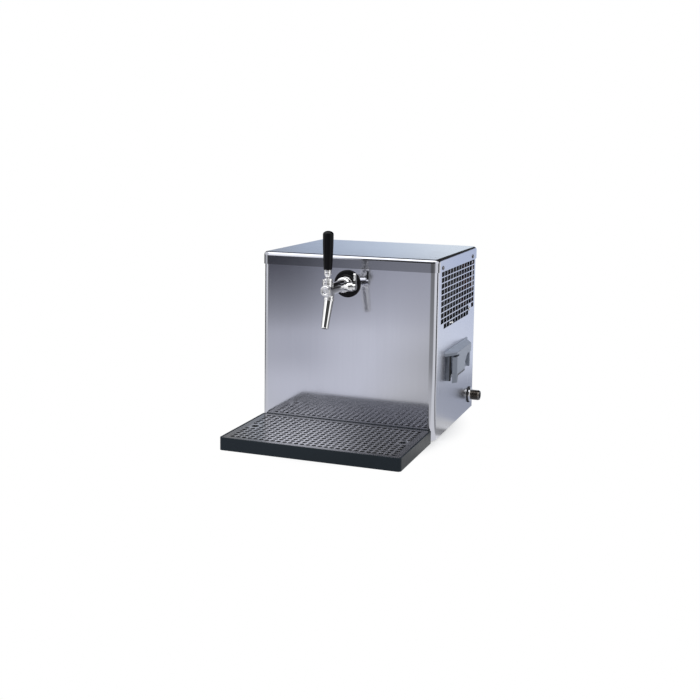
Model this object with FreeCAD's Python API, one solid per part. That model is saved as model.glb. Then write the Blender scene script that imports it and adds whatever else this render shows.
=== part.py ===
"""Counter-top beer cooler: a stainless casing with one compensator tap, a side beer inlet, two side
grips, a refrigeration set inside and a drip tray with a perforated grid in front.

Working axes, in millimetres: X to the right, Y from the front panel to the back, Z up from the
counter; x = 0 is the middle of the casing and y = 0 is its front panel. At the end everything is
moved so that the origin is the bottom centre of the whole part.
"""

import FreeCAD, Part
import math
import os

V = FreeCAD.Vector
X, Y, Z = V(1, 0, 0), V(0, 1, 0), V(0, 0, 1)

# ---------------------------------------------------------------- driving dimensions
# Casing
CASE_WIDTH = 348.0
CASE_DEPTH = 308.0
OVERALL_HEIGHT = 340.0
SHEET = 1.0
CASE_CORNER = 13.0
FLANGE = 14.0
FOOT_HEIGHT = 3.0
FOOT_RADIUS = 12.0
FOOT_INSET = 32.0
PAN_SHEET = 1.5
PAN_EDGE = 16.0
FIT = 0.2
TOUCHING = 1e-6
HEXAGON = 6

# Lid
LID_SHEET = 1.2
LID_GAP = 0.8
LID_SKIRT = 24.1
LID_EDGE_RADIUS = 7.0
LID_SCREW_INSET = 31.0
LID_SCREW_REAR_INSET = 44.0
LID_SCREW_DROP = 17.5

# Screws
SCREW_HEAD_RADIUS = 4.0
SCREW_HEAD_HEIGHT = 2.0
SCREW_RADIUS = 2.0
SCREW_GRIP = 9.0

# Side vents
VENT_FRONT = 30.0
VENT_COLUMNS = 12
VENT_ROWS = 10
VENT_PITCH_Y = 21.6
VENT_PITCH_Z = 11.1
VENT_SLOT_LENGTH = 19.4
VENT_SLOT_HEIGHT = 9.1
VENT_DROP = 25.6
PANEL_SCREW_REAR = 57.0
PANEL_SCREW_DROP = 124.0

# Rear panel
REAR_SHEET = 1.2
REAR_OVERLAP = 8.0
REAR_SCREW_RISE = 6.0
LOUVRE_COUNT = 9
LOUVRE_PITCH = 11.0
LOUVRE_LENGTH = 120.0
LOUVRE_HEIGHT = 4.0
LOUVRE_SIDE_GAP = 32.0
LOUVRE_TOP_GAP = 50.0

# Side grips
GRIP_FRONT = 64.0
GRIP_LENGTH = 166.0
GRIP_BOTTOM = 101.0
GRIP_HEIGHT = 58.5
GRIP_PROUD = 18.0
GRIP_HOOD = 9.5
GRIP_ROOF_FALL = 4.5
GRIP_TAPER = 27.0
GRIP_FRAME_START = 13.0
GRIP_FRAME_LENGTH = 161.0
GRIP_BEZEL = 2.0
GRIP_CHEEK = 7.0
GRIP_CHEEK_DEPTH = 8.0
GRIP_WALL = 2.5
GRIP_MARGIN = 4.0
POCKET_DEPTH = 28.0
TONGUE_WIDTH = 62.0
TONGUE_THICKNESS = 7.0
TONGUE_RISE = 7.5
TONGUE_STRAIGHT = 4.0
TONGUE_SHOULDER = 11.0
TONGUE_TOE = 12.0
TONGUE_TOE_WIDTH = 4.0
TONGUE_SLIT = 3.5
TONGUE_SLIT_LENGTH = 16.0

# Tap
TAP_DROP = 53.0
ROSETTE_RADIUS = 26.0
ROSETTE_THICKNESS = 7.0
ROSETTE_INNER_RADIUS = 16.0
ROSETTE_STEP = 2.5
SHANK_RADIUS = 11.0
SHANK_BORE = 4.0
SHANK_INSIDE = 45.0
SHANK_OUTSIDE = 15.0
SHANK_NUT_FLATS = 32.0
SHANK_NUT_THICKNESS = 8.0
COUPLING_RADIUS = 14.2
COUPLING_FRONT = 8.0
COUPLING_LENGTH = 20.0
BARREL_RADIUS = 10.5
BARREL_END = 113.0
COLLAR_RADIUS = 11.0
COLLAR_LENGTH = 3.0
CHAMBER_RADIUS = 8.0
CHAMBER_END = 70.0
PISTON_BORE = 6.0
HEAD_Y = 103.0
HEAD_RADIUS = 9.75
CAP_RADIUS = 9.0
CAP_THICKNESS = 3.0
CAP_SOCKET_RADIUS = 5.0
CAP_SOCKET_DEPTH = 1.8
BONNET_RADIUS = 9.75
BONNET_HEIGHT = 9.0
BONNET_GROOVE_RISE = 4.2
BONNET_GROOVE_WIDTH = 1.6
BONNET_GROOVE_DEPTH = 0.9
BONNET_MOUTH = 8.0
SPOUT_Y = 89.0
SPOUT_LEAN_DEG = 21.4
SPOUT_SOCKET = 17.0
SPOUT_SOCKET_RADIUS = 8.5
SPOUT_LENGTH = 55.5
SPOUT_TOP_RADIUS = 9.5
SPOUT_END_RADIUS = 6.7
SPOUT_COLLAR = 4.0
SPOUT_BORE = 4.5
SPOUT_PORT = 3.5

# Tap lever, piston and compensator
RUNNING = 0.06
PIVOT_RISE = 12.0
BALL_RADIUS = 5.5
FINGER_RADIUS = 2.3
FINGER_LENGTH = 11.0
STEM_RADIUS = 3.5
STEM_HEIGHT = 46.0
FERRULE_RISE = 11.5
FERRULE_TAPER = 5.0
FERRULE_FOOT_RADIUS = 4.0
FERRULE_RADIUS = 6.75
FERRULE_TOP = 25.0
HANDLE_TOP = 94.6
HANDLE_FOOT_RADIUS = 7.9
HANDLE_HEAD_RADIUS = 10.5
HANDLE_DOME = 6.0
PISTON_FRONT = 110.5
PISTON_NOSE_END = 95.0
PISTON_ROD_RADIUS = 3.0
PISTON_SEAL_FRONT = 78.0
PISTON_TAIL = 70.2
SEAL_RADIUS = 1.0
POCKET_FLOOR = 0.6
POCKET_FOOT = 2.7
POCKET_MOUTH = 4.4
FLOW_Y = 37.0
FLOW_STUB_RADIUS = 8.5
FLOW_STUB_END = 24.5
FLOW_SHAFT_RADIUS = 3.0
FLOW_SHAFT_START = 8.6
FLOW_PIN_RADIUS = 1.0
FLOW_PIN_OFFSET = 2.0
FLOW_PIN_DEPTH = 4.6
FLOW_HUB_RADIUS = 6.0
FLOW_HUB_THICKNESS = 5.5
FLOW_ARM_HEIGHT = 24.5
FLOW_ARM_FOOT = 3.6
FLOW_ARM_HEAD = 2.8
CONE_FRONT = 60.0
CONE_LENGTH = 27.0
CONE_RADIUS = 7.0
CONE_NOSE_RADIUS = 3.4
CONE_SLOT_HALF = 1.7
CONE_SLOT_HEIGHT = 4.8

# Beer inlet on the right side
INLET_REAR = 42.0
INLET_HEIGHT = 34.0
INLET_RADIUS = 10.478
INLET_CORE_RADIUS = 10.2
INLET_BORE = 4.0
INLET_PROUD = 24.0
INLET_INSIDE = 22.0
INLET_CHAMFER = 1.5
GASKET_RADIUS = 16.5
GASKET_THICKNESS = 1.8
INLET_NUT_RADIUS = 14.5
INLET_NUT_THICKNESS = 4.0
LOCK_NUT_FLATS = 27.0
LOCK_NUT_THICKNESS = 6.0

# Drip tray and grid
TRAY_WIDTH = 339.5
TRAY_LENGTH = 192.5
TRAY_HEIGHT = 23.3
TRAY_GAP = 0.5
TRAY_CORNER = 6.0
TRAY_RIM = 3.0
TRAY_LEDGE = 5.0
TRAY_FLOOR = 2.5
TRAY_RIB = 3.0
TRAY_RIB_X = 58.0
GRID_SHEET = 1.5
GRID_CLEARANCE = 0.4
GRID_SEAT = 0.3
GRID_DROP = 0.5
GRID_COLUMNS = 28
GRID_ROWS = 14
GRID_PITCH_X = 11.2
GRID_PITCH_Y = 12.0
GRID_HOLE_RADIUS = 4.4
FINGER_HOLE_RADIUS = 7.0
FINGER_HOLE_INSET = 26.25
FINGER_HOLE_LAND = 1.5

# Cooling block and insulation
INS_WIDTH = 140.0
INS_DEPTH = 140.0
INS_HEIGHT = 192.0
INS_WALL = 20.0
INS_GRIP_GAP = 6.0
INS_FRONT_GAP = 9.0
BEER_LINE_RADIUS = 5.0
BEER_LINE_BORE = 3.5
BEER_LINE_BEND = 18.0
BEER_IN_INSET = 40.0
BEER_OUT_X = 40.0
BEER_OUT_REACH = 45.0

# Compressor
COMP_RADIUS = 62.0
COMP_HEIGHT = 146.0
COMP_DOME = 20.0
COMP_SIDE_GAP = 41.0
COMP_REAR_GAP = 35.0
COMP_PLATE = 3.0
COMP_PLATE_MARGIN = 10.0
COMP_FOOT_X = 50.0
COMP_FOOT_Y = 45.0
GROMMET_RADIUS = 9.0
GROMMET_HEIGHT = 14.0
BOLT_RADIUS = 3.0
BOLT_HEAD_RADIUS = 6.5
BOLT_HEAD_HEIGHT = 4.0
RELAY_WIDTH = 40.0
RELAY_DEPTH = 18.0
RELAY_HEIGHT = 50.0
RELAY_RISE = 62.0

# Condenser, fan
COND_WIDTH = 40.0
COND_HEIGHT = 113.0
COND_SIDE_GAP = 23.0
COND_FRONT = 40.0
COND_LEVELS = 4
COND_LEVEL_PITCH = 27.0
COND_TUBE_RADIUS = 4.0
COND_TUBE_SPACING = 20.0
COND_BEND = 9.0
COND_OVERHANG = 10.0
COND_TAIL = 6.0
FIN_COUNT = 22
FIN_SHEET = 0.6
FRAME_SHEET = 2.0
FRAME_LEG_WIDTH = 8.0
FRAME_LEG_REAR = 20.0
SHROUD_SHEET = 1.5
SHROUD_RING = 18.0
FAN_RADIUS = 52.0
FAN_TIP_GAP = 2.0
FAN_HUB_RADIUS = 17.0
FAN_HUB_LENGTH = 13.0
FAN_BLADES = 5
FAN_BLADE_SHEET = 2.0
FAN_BLADE_PITCH_DEG = 32.0
FAN_BLADE_WIDTH = 20.0
FAN_SHAFT_RADIUS = 3.0
MOTOR_RADIUS = 22.0
MOTOR_LENGTH = 31.0
MOTOR_GAP = 4.0
BRACKET_WIDTH = 12.0
BRACKET_SHEET = 3.0
BRACKET_RING = 27.0

# Refrigerant lines
LINE_RADIUS = 4.0
LINE_BEND = 14.0
LINE_STEP = 40.0
SUCTION_RISE = 125.0
DISCHARGE_RISE = 115.0
DISCHARGE_X = 20.0
REAR_RUN_GAP = 23.0
DRIER_X = 60.0
DRIER_RADIUS = 9.0
DRIER_BOTTOM = 80.0
DRIER_HEIGHT = 90.0
CAPILLARY_RADIUS = 1.2
CAPILLARY_BEND = 8.0
CAPILLARY_HEIGHT = 50.0
CAPILLARY_X = 85.0

# Controls on the rear panel
THERMO_X = -110.0
THERMO_SIZE = 36.0
THERMO_DEPTH = 32.0
THERMO_SHAFT_RADIUS = 3.0
THERMO_SHAFT_LENGTH = 14.0
KNOB_RADIUS = 18.0
KNOB_HEIGHT = 15.0
KNOB_TAPER = 2.0
KNOB_GAP = 0.6
KNOB_CAP = 4.0
KNOB_POINTER = 3.0
PROBE_RADIUS = 1.2
PROBE_CLEARANCE = 12.0
PROBE_DROP = 23.5
SWITCH_X = -60.0
INLET_PLUG_X = -110.0
CONTROLS_HEIGHT = 48.0
SWITCH_WIDTH = 19.0
SWITCH_HEIGHT = 27.0
SWITCH_DEPTH = 20.0
SWITCH_FLANGE = 2.0
SWITCH_BEZEL = 2.0
SWITCH_WALL = 2.0
ROCKER_GAP = 0.4
ROCKER_ANGLE_DEG = 14.0
ROCKER_DEPTH = 9.0
ROCKER_PROUD = 2.0
ROCKER_PIN_RADIUS = 1.5
ROCKER_PIN_LENGTH = 1.5
PLUG_WIDTH = 28.0
PLUG_HEIGHT = 20.0
PLUG_DEPTH = 24.0
PLUG_FLANGE_WIDTH = 40.0
PLUG_FLANGE_HEIGHT = 28.0
PLUG_FLANGE = 2.0
PLUG_WALL = 2.0
PLUG_PIN_LENGTH = 16.0
PLUG_PIN_WIDTH = 4.0
PLUG_PIN_SHEET = 2.0
PLUG_PIN_PITCH = 7.0

# ---------------------------------------------------------------- places worked out from them
SIDE_X = CASE_WIDTH / 2
INNER_X = SIDE_X - SHEET
INNER_REAR = CASE_DEPTH - SHEET
CASE_TOP = OVERALL_HEIGHT - LID_SHEET - LID_GAP
FLOOR = FOOT_HEIGHT + PAN_SHEET
SKIRT_BOTTOM = OVERALL_HEIGHT - LID_SKIRT
LID_OVERHANG = LID_GAP + LID_SHEET
LID_SCREW_Z = OVERALL_HEIGHT - LID_SCREW_DROP
LID_SCREW_YS = (LID_SCREW_INSET, CASE_DEPTH - LID_SCREW_REAR_INSET)
PANEL_SCREW_Y = CASE_DEPTH - PANEL_SCREW_REAR
PANEL_SCREW_Z = OVERALL_HEIGHT - PANEL_SCREW_DROP
REAR_FACE = CASE_DEPTH + REAR_SHEET
REAR_HALF = INNER_X - FLANGE + REAR_OVERLAP
REAR_BOTTOM = FOOT_HEIGHT + FLANGE - REAR_OVERLAP
REAR_TOP = SKIRT_BOTTOM - FIT
GRIP_REAR = GRIP_FRONT + GRIP_LENGTH
FRAME_FRONT = GRIP_FRONT + GRIP_FRAME_START
FRAME_REAR = FRAME_FRONT + GRIP_FRAME_LENGTH
GRIP_TOP = GRIP_BOTTOM + GRIP_HEIGHT
GRIP_X = SIDE_X + GRIP_PROUD
HOOD_BOTTOM = GRIP_TOP - GRIP_HOOD
TONGUE_FRONT = GRIP_FRONT + GRIP_TAPER
TAP_HEIGHT = OVERALL_HEIGHT - TAP_DROP
PIVOT_Z = TAP_HEIGHT + PIVOT_RISE
BONNET_SEAT = BARREL_RADIUS + SHEET / 2
SPOUT_DIRECTION = V(0, -math.sin(math.radians(SPOUT_LEAN_DEG)), -math.cos(math.radians(SPOUT_LEAN_DEG)))
SPOUT_ROOT = V(0, -SPOUT_Y, TAP_HEIGHT)
SPOUT_START = SPOUT_ROOT + SPOUT_DIRECTION * SPOUT_SOCKET
INLET_Y = CASE_DEPTH - INLET_REAR
TRAY_REAR = -TRAY_GAP
TRAY_FRONT = TRAY_REAR - TRAY_LENGTH
TRAY_MIDDLE = TRAY_REAR - TRAY_LENGTH / 2
LEDGE_TOP = TRAY_HEIGHT - GRID_DROP - GRID_SHEET - GRID_SEAT
INS_RIGHT = SIDE_X - POCKET_DEPTH - INS_GRIP_GAP
INS_LEFT = INS_RIGHT - INS_WIDTH
INS_FRONT = SHEET + INS_FRONT_GAP
INS_REAR = INS_FRONT + INS_DEPTH
INS_TOP = FLOOR + INS_HEIGHT
INS_SPLIT = FLOOR + INS_HEIGHT / 2
PROBE_RUN_Z = INS_TOP + PROBE_CLEARANCE
THERMO_HEIGHT = PROBE_RUN_Z + PROBE_DROP + THERMO_SIZE / 2
BLOCK_TOP = INS_TOP - INS_WALL
BLOCK_REAR = INS_REAR - INS_WALL
COMP_X = COMP_SIDE_GAP + COMP_RADIUS - INNER_X
COMP_CENTRE_Y = INNER_REAR - COMP_REAR_GAP - COMP_RADIUS
COMP_PLATE_BOTTOM = FLOOR + GROMMET_HEIGHT
COMP_BOTTOM = COMP_PLATE_BOTTOM + COMP_PLATE
REAR_RUN_Y = INNER_REAR - REAR_RUN_GAP
LINE_START_Y = REAR_RUN_Y - COND_TAIL
COIL_END_Y = LINE_START_Y - COND_TAIL
COND_REAR = COIL_END_Y - COND_OVERHANG - FRAME_SHEET
COND_RIGHT = INNER_X - COND_SIDE_GAP
COND_LEFT = COND_RIGHT - COND_WIDTH
COND_BOTTOM = INS_TOP + FRAME_SHEET
COND_TOP = COND_BOTTOM + COND_HEIGHT
COND_MIDDLE = (COND_LEFT + COND_RIGHT) / 2
TUBE_XS = (COND_MIDDLE + COND_TUBE_SPACING / 2, COND_MIDDLE - COND_TUBE_SPACING / 2)
TUBE_TOP = (COND_BOTTOM + COND_TOP + (COND_LEVELS - 1) * COND_LEVEL_PITCH) / 2
TUBE_BOTTOM = TUBE_TOP - (COND_LEVELS - 1) * COND_LEVEL_PITCH
SHROUD_X = COND_LEFT - FRAME_SHEET
FAN_Y = (COND_FRONT + COND_REAR) / 2
FAN_Z = (COND_BOTTOM + COND_TOP) / 2
RING_RADIUS = FAN_RADIUS + FAN_TIP_GAP
HUB_X = SHROUD_X - SHROUD_RING + (SHROUD_RING - FAN_HUB_LENGTH) / 2
MOTOR_FACE = HUB_X - MOTOR_GAP


# ---------------------------------------------------------------- shaping helpers
def box(x0, x1, y0, y1, z0, z1):
    """Box between the given planes."""
    return Part.makeBox(x1 - x0, y1 - y0, z1 - z0, V(x0, y0, z0))


def rod(radius, start, end):
    """Round bar from one point to another."""
    return Part.makeCylinder(radius, (end - start).Length, start, end - start)


def ring(outer, inner, start, end):
    """Round bar with a bore through it."""
    return rod(outer, start, end).cut(rod(inner, start, end))


def turned(profile, base, direction):
    """Solid turned from (radius, height) points about an axis through base."""
    points = [V(radius, 0, height) for radius, height in profile]
    face = Part.Face(Part.makePolygon(points + points[:1]))
    solid = face.revolve(V(), Z, 360)
    solid.Placement = FreeCAD.Placement(base, FreeCAD.Rotation(Z, direction))
    return solid


def hexagon(flats, start, end):
    """Hexagonal bar from one point to another."""
    corner = V(flats / 2 / math.cos(math.pi / HEXAGON), 0, 0)
    points = [FreeCAD.Rotation(Z, 360 / HEXAGON * k).multVec(corner) for k in range(HEXAGON + 1)]
    bar = Part.Face(Part.makePolygon(points)).extrude(Z * (end - start).Length)
    bar.Placement = FreeCAD.Placement(start, FreeCAD.Rotation(Z, end - start))
    return bar


def prism(points, travel):
    """Solid swept straight from a flat outline of corner points."""
    return Part.Face(Part.makePolygon(points + points[:1])).extrude(travel)


def upright_edges(solid):
    """Vertical edges of a box."""
    return [edge for edge in solid.Edges
            if edge.Vertexes[0].Point.sub(edge.Vertexes[-1].Point).cross(Z).Length < TOUCHING]


def rounded_box(x0, x1, y0, y1, z0, z1, corner, top=0.0):
    """Box with rounded upright corners and, where top is set, a rounded top edge."""
    solid = box(x0, x1, y0, y1, z0, z1)
    solid = solid.makeFillet(corner, upright_edges(solid))
    if top:
        rim = [edge for edge in solid.Edges if all(abs(v.Point.z - z1) < TOUCHING for v in edge.Vertexes)]
        solid = solid.makeFillet(top, rim)
    return solid


def centreline(points, bend):
    """Straight runs joined by tangent arcs of one bend radius."""
    edges = []
    start = points[0]
    for before, corner, after in zip(points, points[1:], points[2:]):
        back = (before - corner).normalize()
        ahead = (after - corner).normalize()
        half_turn = (math.pi - back.getAngle(ahead)) / 2
        reach = bend * math.tan(half_turn)
        middle_way = (back + ahead).normalize()
        middle = corner + middle_way * (bend / math.cos(half_turn) - bend)
        edges.append(Part.LineSegment(start, corner + back * reach).toShape())
        edges.append(Part.Arc(corner + back * reach, middle, corner + ahead * reach).toShape())
        start = corner + ahead * reach
    edges.append(Part.LineSegment(start, points[-1]).toShape())
    return Part.Wire(edges)


def pipe(points, radius, bend, bore=0.0):
    """Round bar, or tube where bore is set, along a bent centreline."""
    path = centreline(points, bend)

    def sweep(size):
        section = Part.Wire(Part.makeCircle(size, points[0], points[1] - points[0]))
        return path.makePipeShell([section], True, False)

    solid = sweep(radius)
    return solid.cut(sweep(bore)) if bore else solid


def mirrored(solid):
    """The same piece for the left side."""
    return solid.mirror(V(), X)


# ---------------------------------------------------------------- casing
def vent_slots(side):
    """Slots through one side panel; those at the lower corners and by the screw are left out."""
    last = VENT_ROWS - 1
    left_out = {(last, 0), (last, VENT_COLUMNS - 1), (last, VENT_COLUMNS - 2), (last - 1, VENT_COLUMNS - 2)}
    slots = []
    for row in range(VENT_ROWS):
        top = OVERALL_HEIGHT - VENT_DROP - row * VENT_PITCH_Z
        for column in range(VENT_COLUMNS):
            if (row, column) in left_out:
                continue
            front = VENT_FRONT + column * VENT_PITCH_Y
            slots.append(box(side * SIDE_X - FLANGE / 2, side * SIDE_X + FLANGE / 2,
                             front, front + VENT_SLOT_LENGTH, top - VENT_SLOT_HEIGHT, top))
    return slots


def screw_places():
    """Start point and inward direction of the casing's side screws, for the lid and the panels."""
    lid = [(V(side * (SIDE_X + LID_OVERHANG), y, LID_SCREW_Z), X * -side)
           for side in (-1, 1) for y in LID_SCREW_YS]
    panel = [(V(side * SIDE_X, PANEL_SCREW_Y, PANEL_SCREW_Z), X * -side) for side in (-1, 1)]
    rear_x = REAR_HALF - REAR_OVERLAP / 2
    rear = [(V(side * rear_x, REAR_FACE, z), -Y) for side in (-1, 1)
            for z in (REAR_BOTTOM + REAR_SCREW_RISE, (REAR_BOTTOM + REAR_TOP) / 2,
                      REAR_TOP - REAR_SCREW_RISE)]
    return lid, panel, rear


def screws(places):
    """Pan-head screws set on the given faces."""
    profile = [(0, -SCREW_GRIP), (SCREW_RADIUS, -SCREW_GRIP), (SCREW_RADIUS, 0), (SCREW_HEAD_RADIUS, 0),
               (SCREW_HEAD_RADIUS, SCREW_HEAD_HEIGHT / 2), (SCREW_HEAD_RADIUS / 2, SCREW_HEAD_HEIGHT),
               (0, SCREW_HEAD_HEIGHT)]
    return Part.makeCompound([turned(profile, point, -inward) for point, inward in places])


def screw_holes(places):
    """Clear bars on the screws' axes, to cut their holes."""
    return [rod(SCREW_RADIUS, point - inward * SCREW_GRIP, point + inward * SCREW_GRIP)
            for point, inward in places]


def casing_wrap():
    """Stainless shell with rounded corners, turned-in flanges, vents and the cut-outs it needs."""
    outer = rounded_box(-SIDE_X, SIDE_X, 0, CASE_DEPTH, FOOT_HEIGHT, CASE_TOP,
                        CASE_CORNER, LID_EDGE_RADIUS - LID_OVERHANG)
    inner = rounded_box(-INNER_X, INNER_X, SHEET, INNER_REAR, 0, CASE_TOP - SHEET,
                        CASE_CORNER - SHEET, LID_EDGE_RADIUS - LID_OVERHANG - SHEET)
    lid, panel, rear = screw_places()
    half = INNER_X - FLANGE
    top_opening = box(-half, half, FLANGE, CASE_DEPTH - FLANGE, CASE_TOP - FLANGE, OVERALL_HEIGHT)
    rear_opening = box(-half, half, CASE_DEPTH - FLANGE, CASE_DEPTH + FLANGE,
                       FOOT_HEIGHT + FLANGE, SKIRT_BOTTOM - FLANGE)
    cuts = [top_opening, rear_opening, rod(SHANK_RADIUS, on_tap(-FLANGE), on_tap(FLANGE)),
            rod(INLET_CORE_RADIUS, V(SIDE_X - FLANGE, INLET_Y, INLET_HEIGHT),
                V(SIDE_X + FLANGE, INLET_Y, INLET_HEIGHT))]
    for side in (-1, 1):
        near, far = sorted((side * (SIDE_X - FLANGE), side * (SIDE_X + FLANGE)))
        cuts.append(box(near, far, FRAME_FRONT + GRIP_MARGIN, FRAME_REAR - GRIP_MARGIN,
                        GRIP_BOTTOM + GRIP_MARGIN, GRIP_TOP - GRIP_MARGIN))
        cuts += vent_slots(side)
    cuts += screw_holes(lid + panel + rear)
    return outer.cut(inner).cut(Part.makeCompound(cuts))


def rear_panel():
    """Flat plate over the rear flanges, with louvres, control cut-outs and screw holes."""
    plate = box(-REAR_HALF, REAR_HALF, CASE_DEPTH, REAR_FACE, REAR_BOTTOM, REAR_TOP)
    cuts = screw_holes(screw_places()[2])
    right = REAR_HALF - LOUVRE_SIDE_GAP
    for row in range(LOUVRE_COUNT):
        top = REAR_TOP - LOUVRE_TOP_GAP - row * LOUVRE_PITCH
        cuts.append(box(right - LOUVRE_LENGTH, right, CASE_DEPTH, REAR_FACE, top - LOUVRE_HEIGHT, top))
    cuts.append(rod(THERMO_SHAFT_RADIUS, V(THERMO_X, CASE_DEPTH, THERMO_HEIGHT),
                    V(THERMO_X, REAR_FACE, THERMO_HEIGHT)))
    cuts.append(centred(SWITCH_X, CONTROLS_HEIGHT, SWITCH_WIDTH, SWITCH_HEIGHT, CASE_DEPTH, REAR_FACE))
    cuts.append(centred(INLET_PLUG_X, CONTROLS_HEIGHT, PLUG_WIDTH, PLUG_HEIGHT, CASE_DEPTH, REAR_FACE))
    return plate.cut(Part.makeCompound(cuts))


def centred(x, z, width, height, front, back):
    """Box centred on a point of the rear panel."""
    return box(x - width / 2, x + width / 2, front, back, z - height / 2, z + height / 2)


def base_pan():
    """Bottom sheet with turned-up edges, inside the wrap."""
    half = INNER_X - FIT
    front = SHEET + FIT
    back = INNER_REAR - FIT
    corner = CASE_CORNER - SHEET - FIT
    outer = rounded_box(-half, half, front, back, FOOT_HEIGHT, FLOOR + PAN_EDGE, corner)
    inner = rounded_box(PAN_SHEET - half, half - PAN_SHEET, front + PAN_SHEET, back - PAN_SHEET,
                        FLOOR, OVERALL_HEIGHT, corner - PAN_SHEET)
    inlet = rod(INLET_CORE_RADIUS, V(0, INLET_Y, INLET_HEIGHT), V(SIDE_X, INLET_Y, INLET_HEIGHT))
    return drilled(outer.cut(inner), [inlet] + screw_holes(screw_places()[2]))


def rubber_feet():
    """Four short rubber feet under the base."""
    feet = []
    for x in (FOOT_INSET - SIDE_X, SIDE_X - FOOT_INSET):
        for y in (FOOT_INSET, CASE_DEPTH - FOOT_INSET):
            feet.append(Part.makeCone(FOOT_RADIUS - FOOT_HEIGHT / 2, FOOT_RADIUS, FOOT_HEIGHT, V(x, y, 0)))
    return Part.makeCompound(feet)


def lid_piece():
    """Lid pressed from one sheet, with a rounded edge and a skirt round all four sides."""
    reach = SIDE_X + LID_OVERHANG
    corner = CASE_CORNER + LID_OVERHANG
    outer = rounded_box(-reach, reach, -LID_OVERHANG, CASE_DEPTH + LID_OVERHANG,
                        SKIRT_BOTTOM, OVERALL_HEIGHT, corner, LID_EDGE_RADIUS)
    inside = SIDE_X + LID_GAP
    hollow = rounded_box(-inside, inside, -LID_GAP, CASE_DEPTH + LID_GAP,
                         SKIRT_BOTTOM - LID_SKIRT, OVERALL_HEIGHT - LID_SHEET,
                         corner - LID_SHEET, LID_EDGE_RADIUS - LID_SHEET)
    return outer.cut(hollow).cut(Part.makeCompound(screw_holes(screw_places()[0])))


# ---------------------------------------------------------------- side grips
def grip():
    """Right grip: bezel, hood with tapered ends and a hanging tongue, end cheeks and a finger pocket."""
    bezel = box(SIDE_X, SIDE_X + GRIP_BEZEL, FRAME_FRONT, FRAME_REAR, GRIP_BOTTOM, GRIP_TOP)
    hood = prism([V(SIDE_X, GRIP_FRONT, GRIP_TOP), V(GRIP_X, GRIP_FRONT, GRIP_TOP - GRIP_ROOF_FALL),
                  V(GRIP_X, GRIP_FRONT, HOOD_BOTTOM), V(SIDE_X, GRIP_FRONT, HOOD_BOTTOM)],
                 Y * GRIP_LENGTH)
    plan = prism([V(SIDE_X, GRIP_FRONT, 0), V(GRIP_X, GRIP_FRONT + GRIP_TAPER, 0),
                  V(GRIP_X, GRIP_REAR - GRIP_TAPER, 0), V(SIDE_X, GRIP_REAR, 0)], Z * OVERALL_HEIGHT)
    cheeks = [box(SIDE_X, SIDE_X + GRIP_CHEEK_DEPTH, start, start + GRIP_CHEEK, GRIP_BOTTOM, HOOD_BOTTOM)
              for start in (FRAME_FRONT, FRAME_REAR - GRIP_CHEEK)]
    pocket = box(SIDE_X - POCKET_DEPTH, SIDE_X, FRAME_FRONT + GRIP_MARGIN, FRAME_REAR - GRIP_MARGIN,
                 GRIP_BOTTOM + GRIP_MARGIN, GRIP_TOP - GRIP_MARGIN)
    inset = GRIP_MARGIN + GRIP_WALL
    hollow = box(SIDE_X - POCKET_DEPTH + GRIP_WALL, SIDE_X, FRAME_FRONT + inset, FRAME_REAR - inset,
                 GRIP_BOTTOM + inset, GRIP_TOP - inset)
    window = box(SIDE_X - GRIP_WALL, GRIP_X - TONGUE_THICKNESS, FRAME_FRONT + GRIP_CHEEK,
                 FRAME_REAR - GRIP_CHEEK, GRIP_BOTTOM + inset, HOOD_BOTTOM)
    proud = hood.fuse(tongue()).common(plan)
    return proud.fuse([bezel, pocket] + cheeks).cut(hollow).cut(window).removeSplitter()


def tongue():
    """Finger pull: upright front edge down to a small toe, slit under the hood, hollow curved rear side."""
    high = TONGUE_FRONT + TONGUE_WIDTH
    foot = GRIP_BOTTOM + TONGUE_RISE
    toe = foot - TONGUE_TOE
    toe_rear = TONGUE_FRONT + TONGUE_TOE_WIDTH
    curve_z = foot + TONGUE_STRAIGHT
    shoulder = HOOD_BOTTOM - TONGUE_SHOULDER
    radius = shoulder - curve_z
    diagonal = radius * math.sqrt(0.5)
    slit_rear = TONGUE_FRONT + TONGUE_SLIT_LENGTH
    slit = HOOD_BOTTOM - TONGUE_SLIT

    def at(y, z):
        return V(GRIP_X - TONGUE_THICKNESS, y, z)

    start, end = at(high, curve_z), at(high + radius, shoulder)
    corners = [end, at(GRIP_REAR, shoulder), at(GRIP_REAR, HOOD_BOTTOM), at(slit_rear, HOOD_BOTTOM),
               at(slit_rear, slit), at(GRIP_FRONT, slit), at(GRIP_FRONT, toe), at(toe_rear, toe),
               at(toe_rear + TONGUE_TOE_WIDTH, foot), at(high, foot), start]
    curve = Part.Arc(start, at(high + radius - diagonal, curve_z + diagonal), end).toShape()
    edges = [Part.LineSegment(a, b).toShape() for a, b in zip(corners, corners[1:])] + [curve]
    outline = Part.Wire(Part.__sortEdges__(edges))
    return Part.Face(outline).extrude(X * TONGUE_THICKNESS)


# ---------------------------------------------------------------- tap
def on_tap(distance, height=0.0):
    """Point on the tap's axis, at a distance in front of the panel."""
    return V(0, -distance, TAP_HEIGHT + height)


def tap_rosette():
    """Round escutcheon with a raised inner ring."""
    outer = ROSETTE_THICKNESS - ROSETTE_STEP
    profile = [(SHANK_RADIUS, 0), (ROSETTE_RADIUS, 0), (ROSETTE_RADIUS, outer - ROSETTE_STEP),
               (ROSETTE_RADIUS - ROSETTE_STEP, outer), (ROSETTE_INNER_RADIUS + ROSETTE_STEP, outer),
               (ROSETTE_INNER_RADIUS, ROSETTE_THICKNESS), (SHANK_RADIUS, ROSETTE_THICKNESS)]
    return turned(profile, on_tap(0), -Y)


def tap_shank():
    """Threaded tube that passes through the front panel."""
    return ring(SHANK_RADIUS, SHANK_BORE, on_tap(-SHANK_INSIDE), on_tap(SHANK_OUTSIDE))


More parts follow.
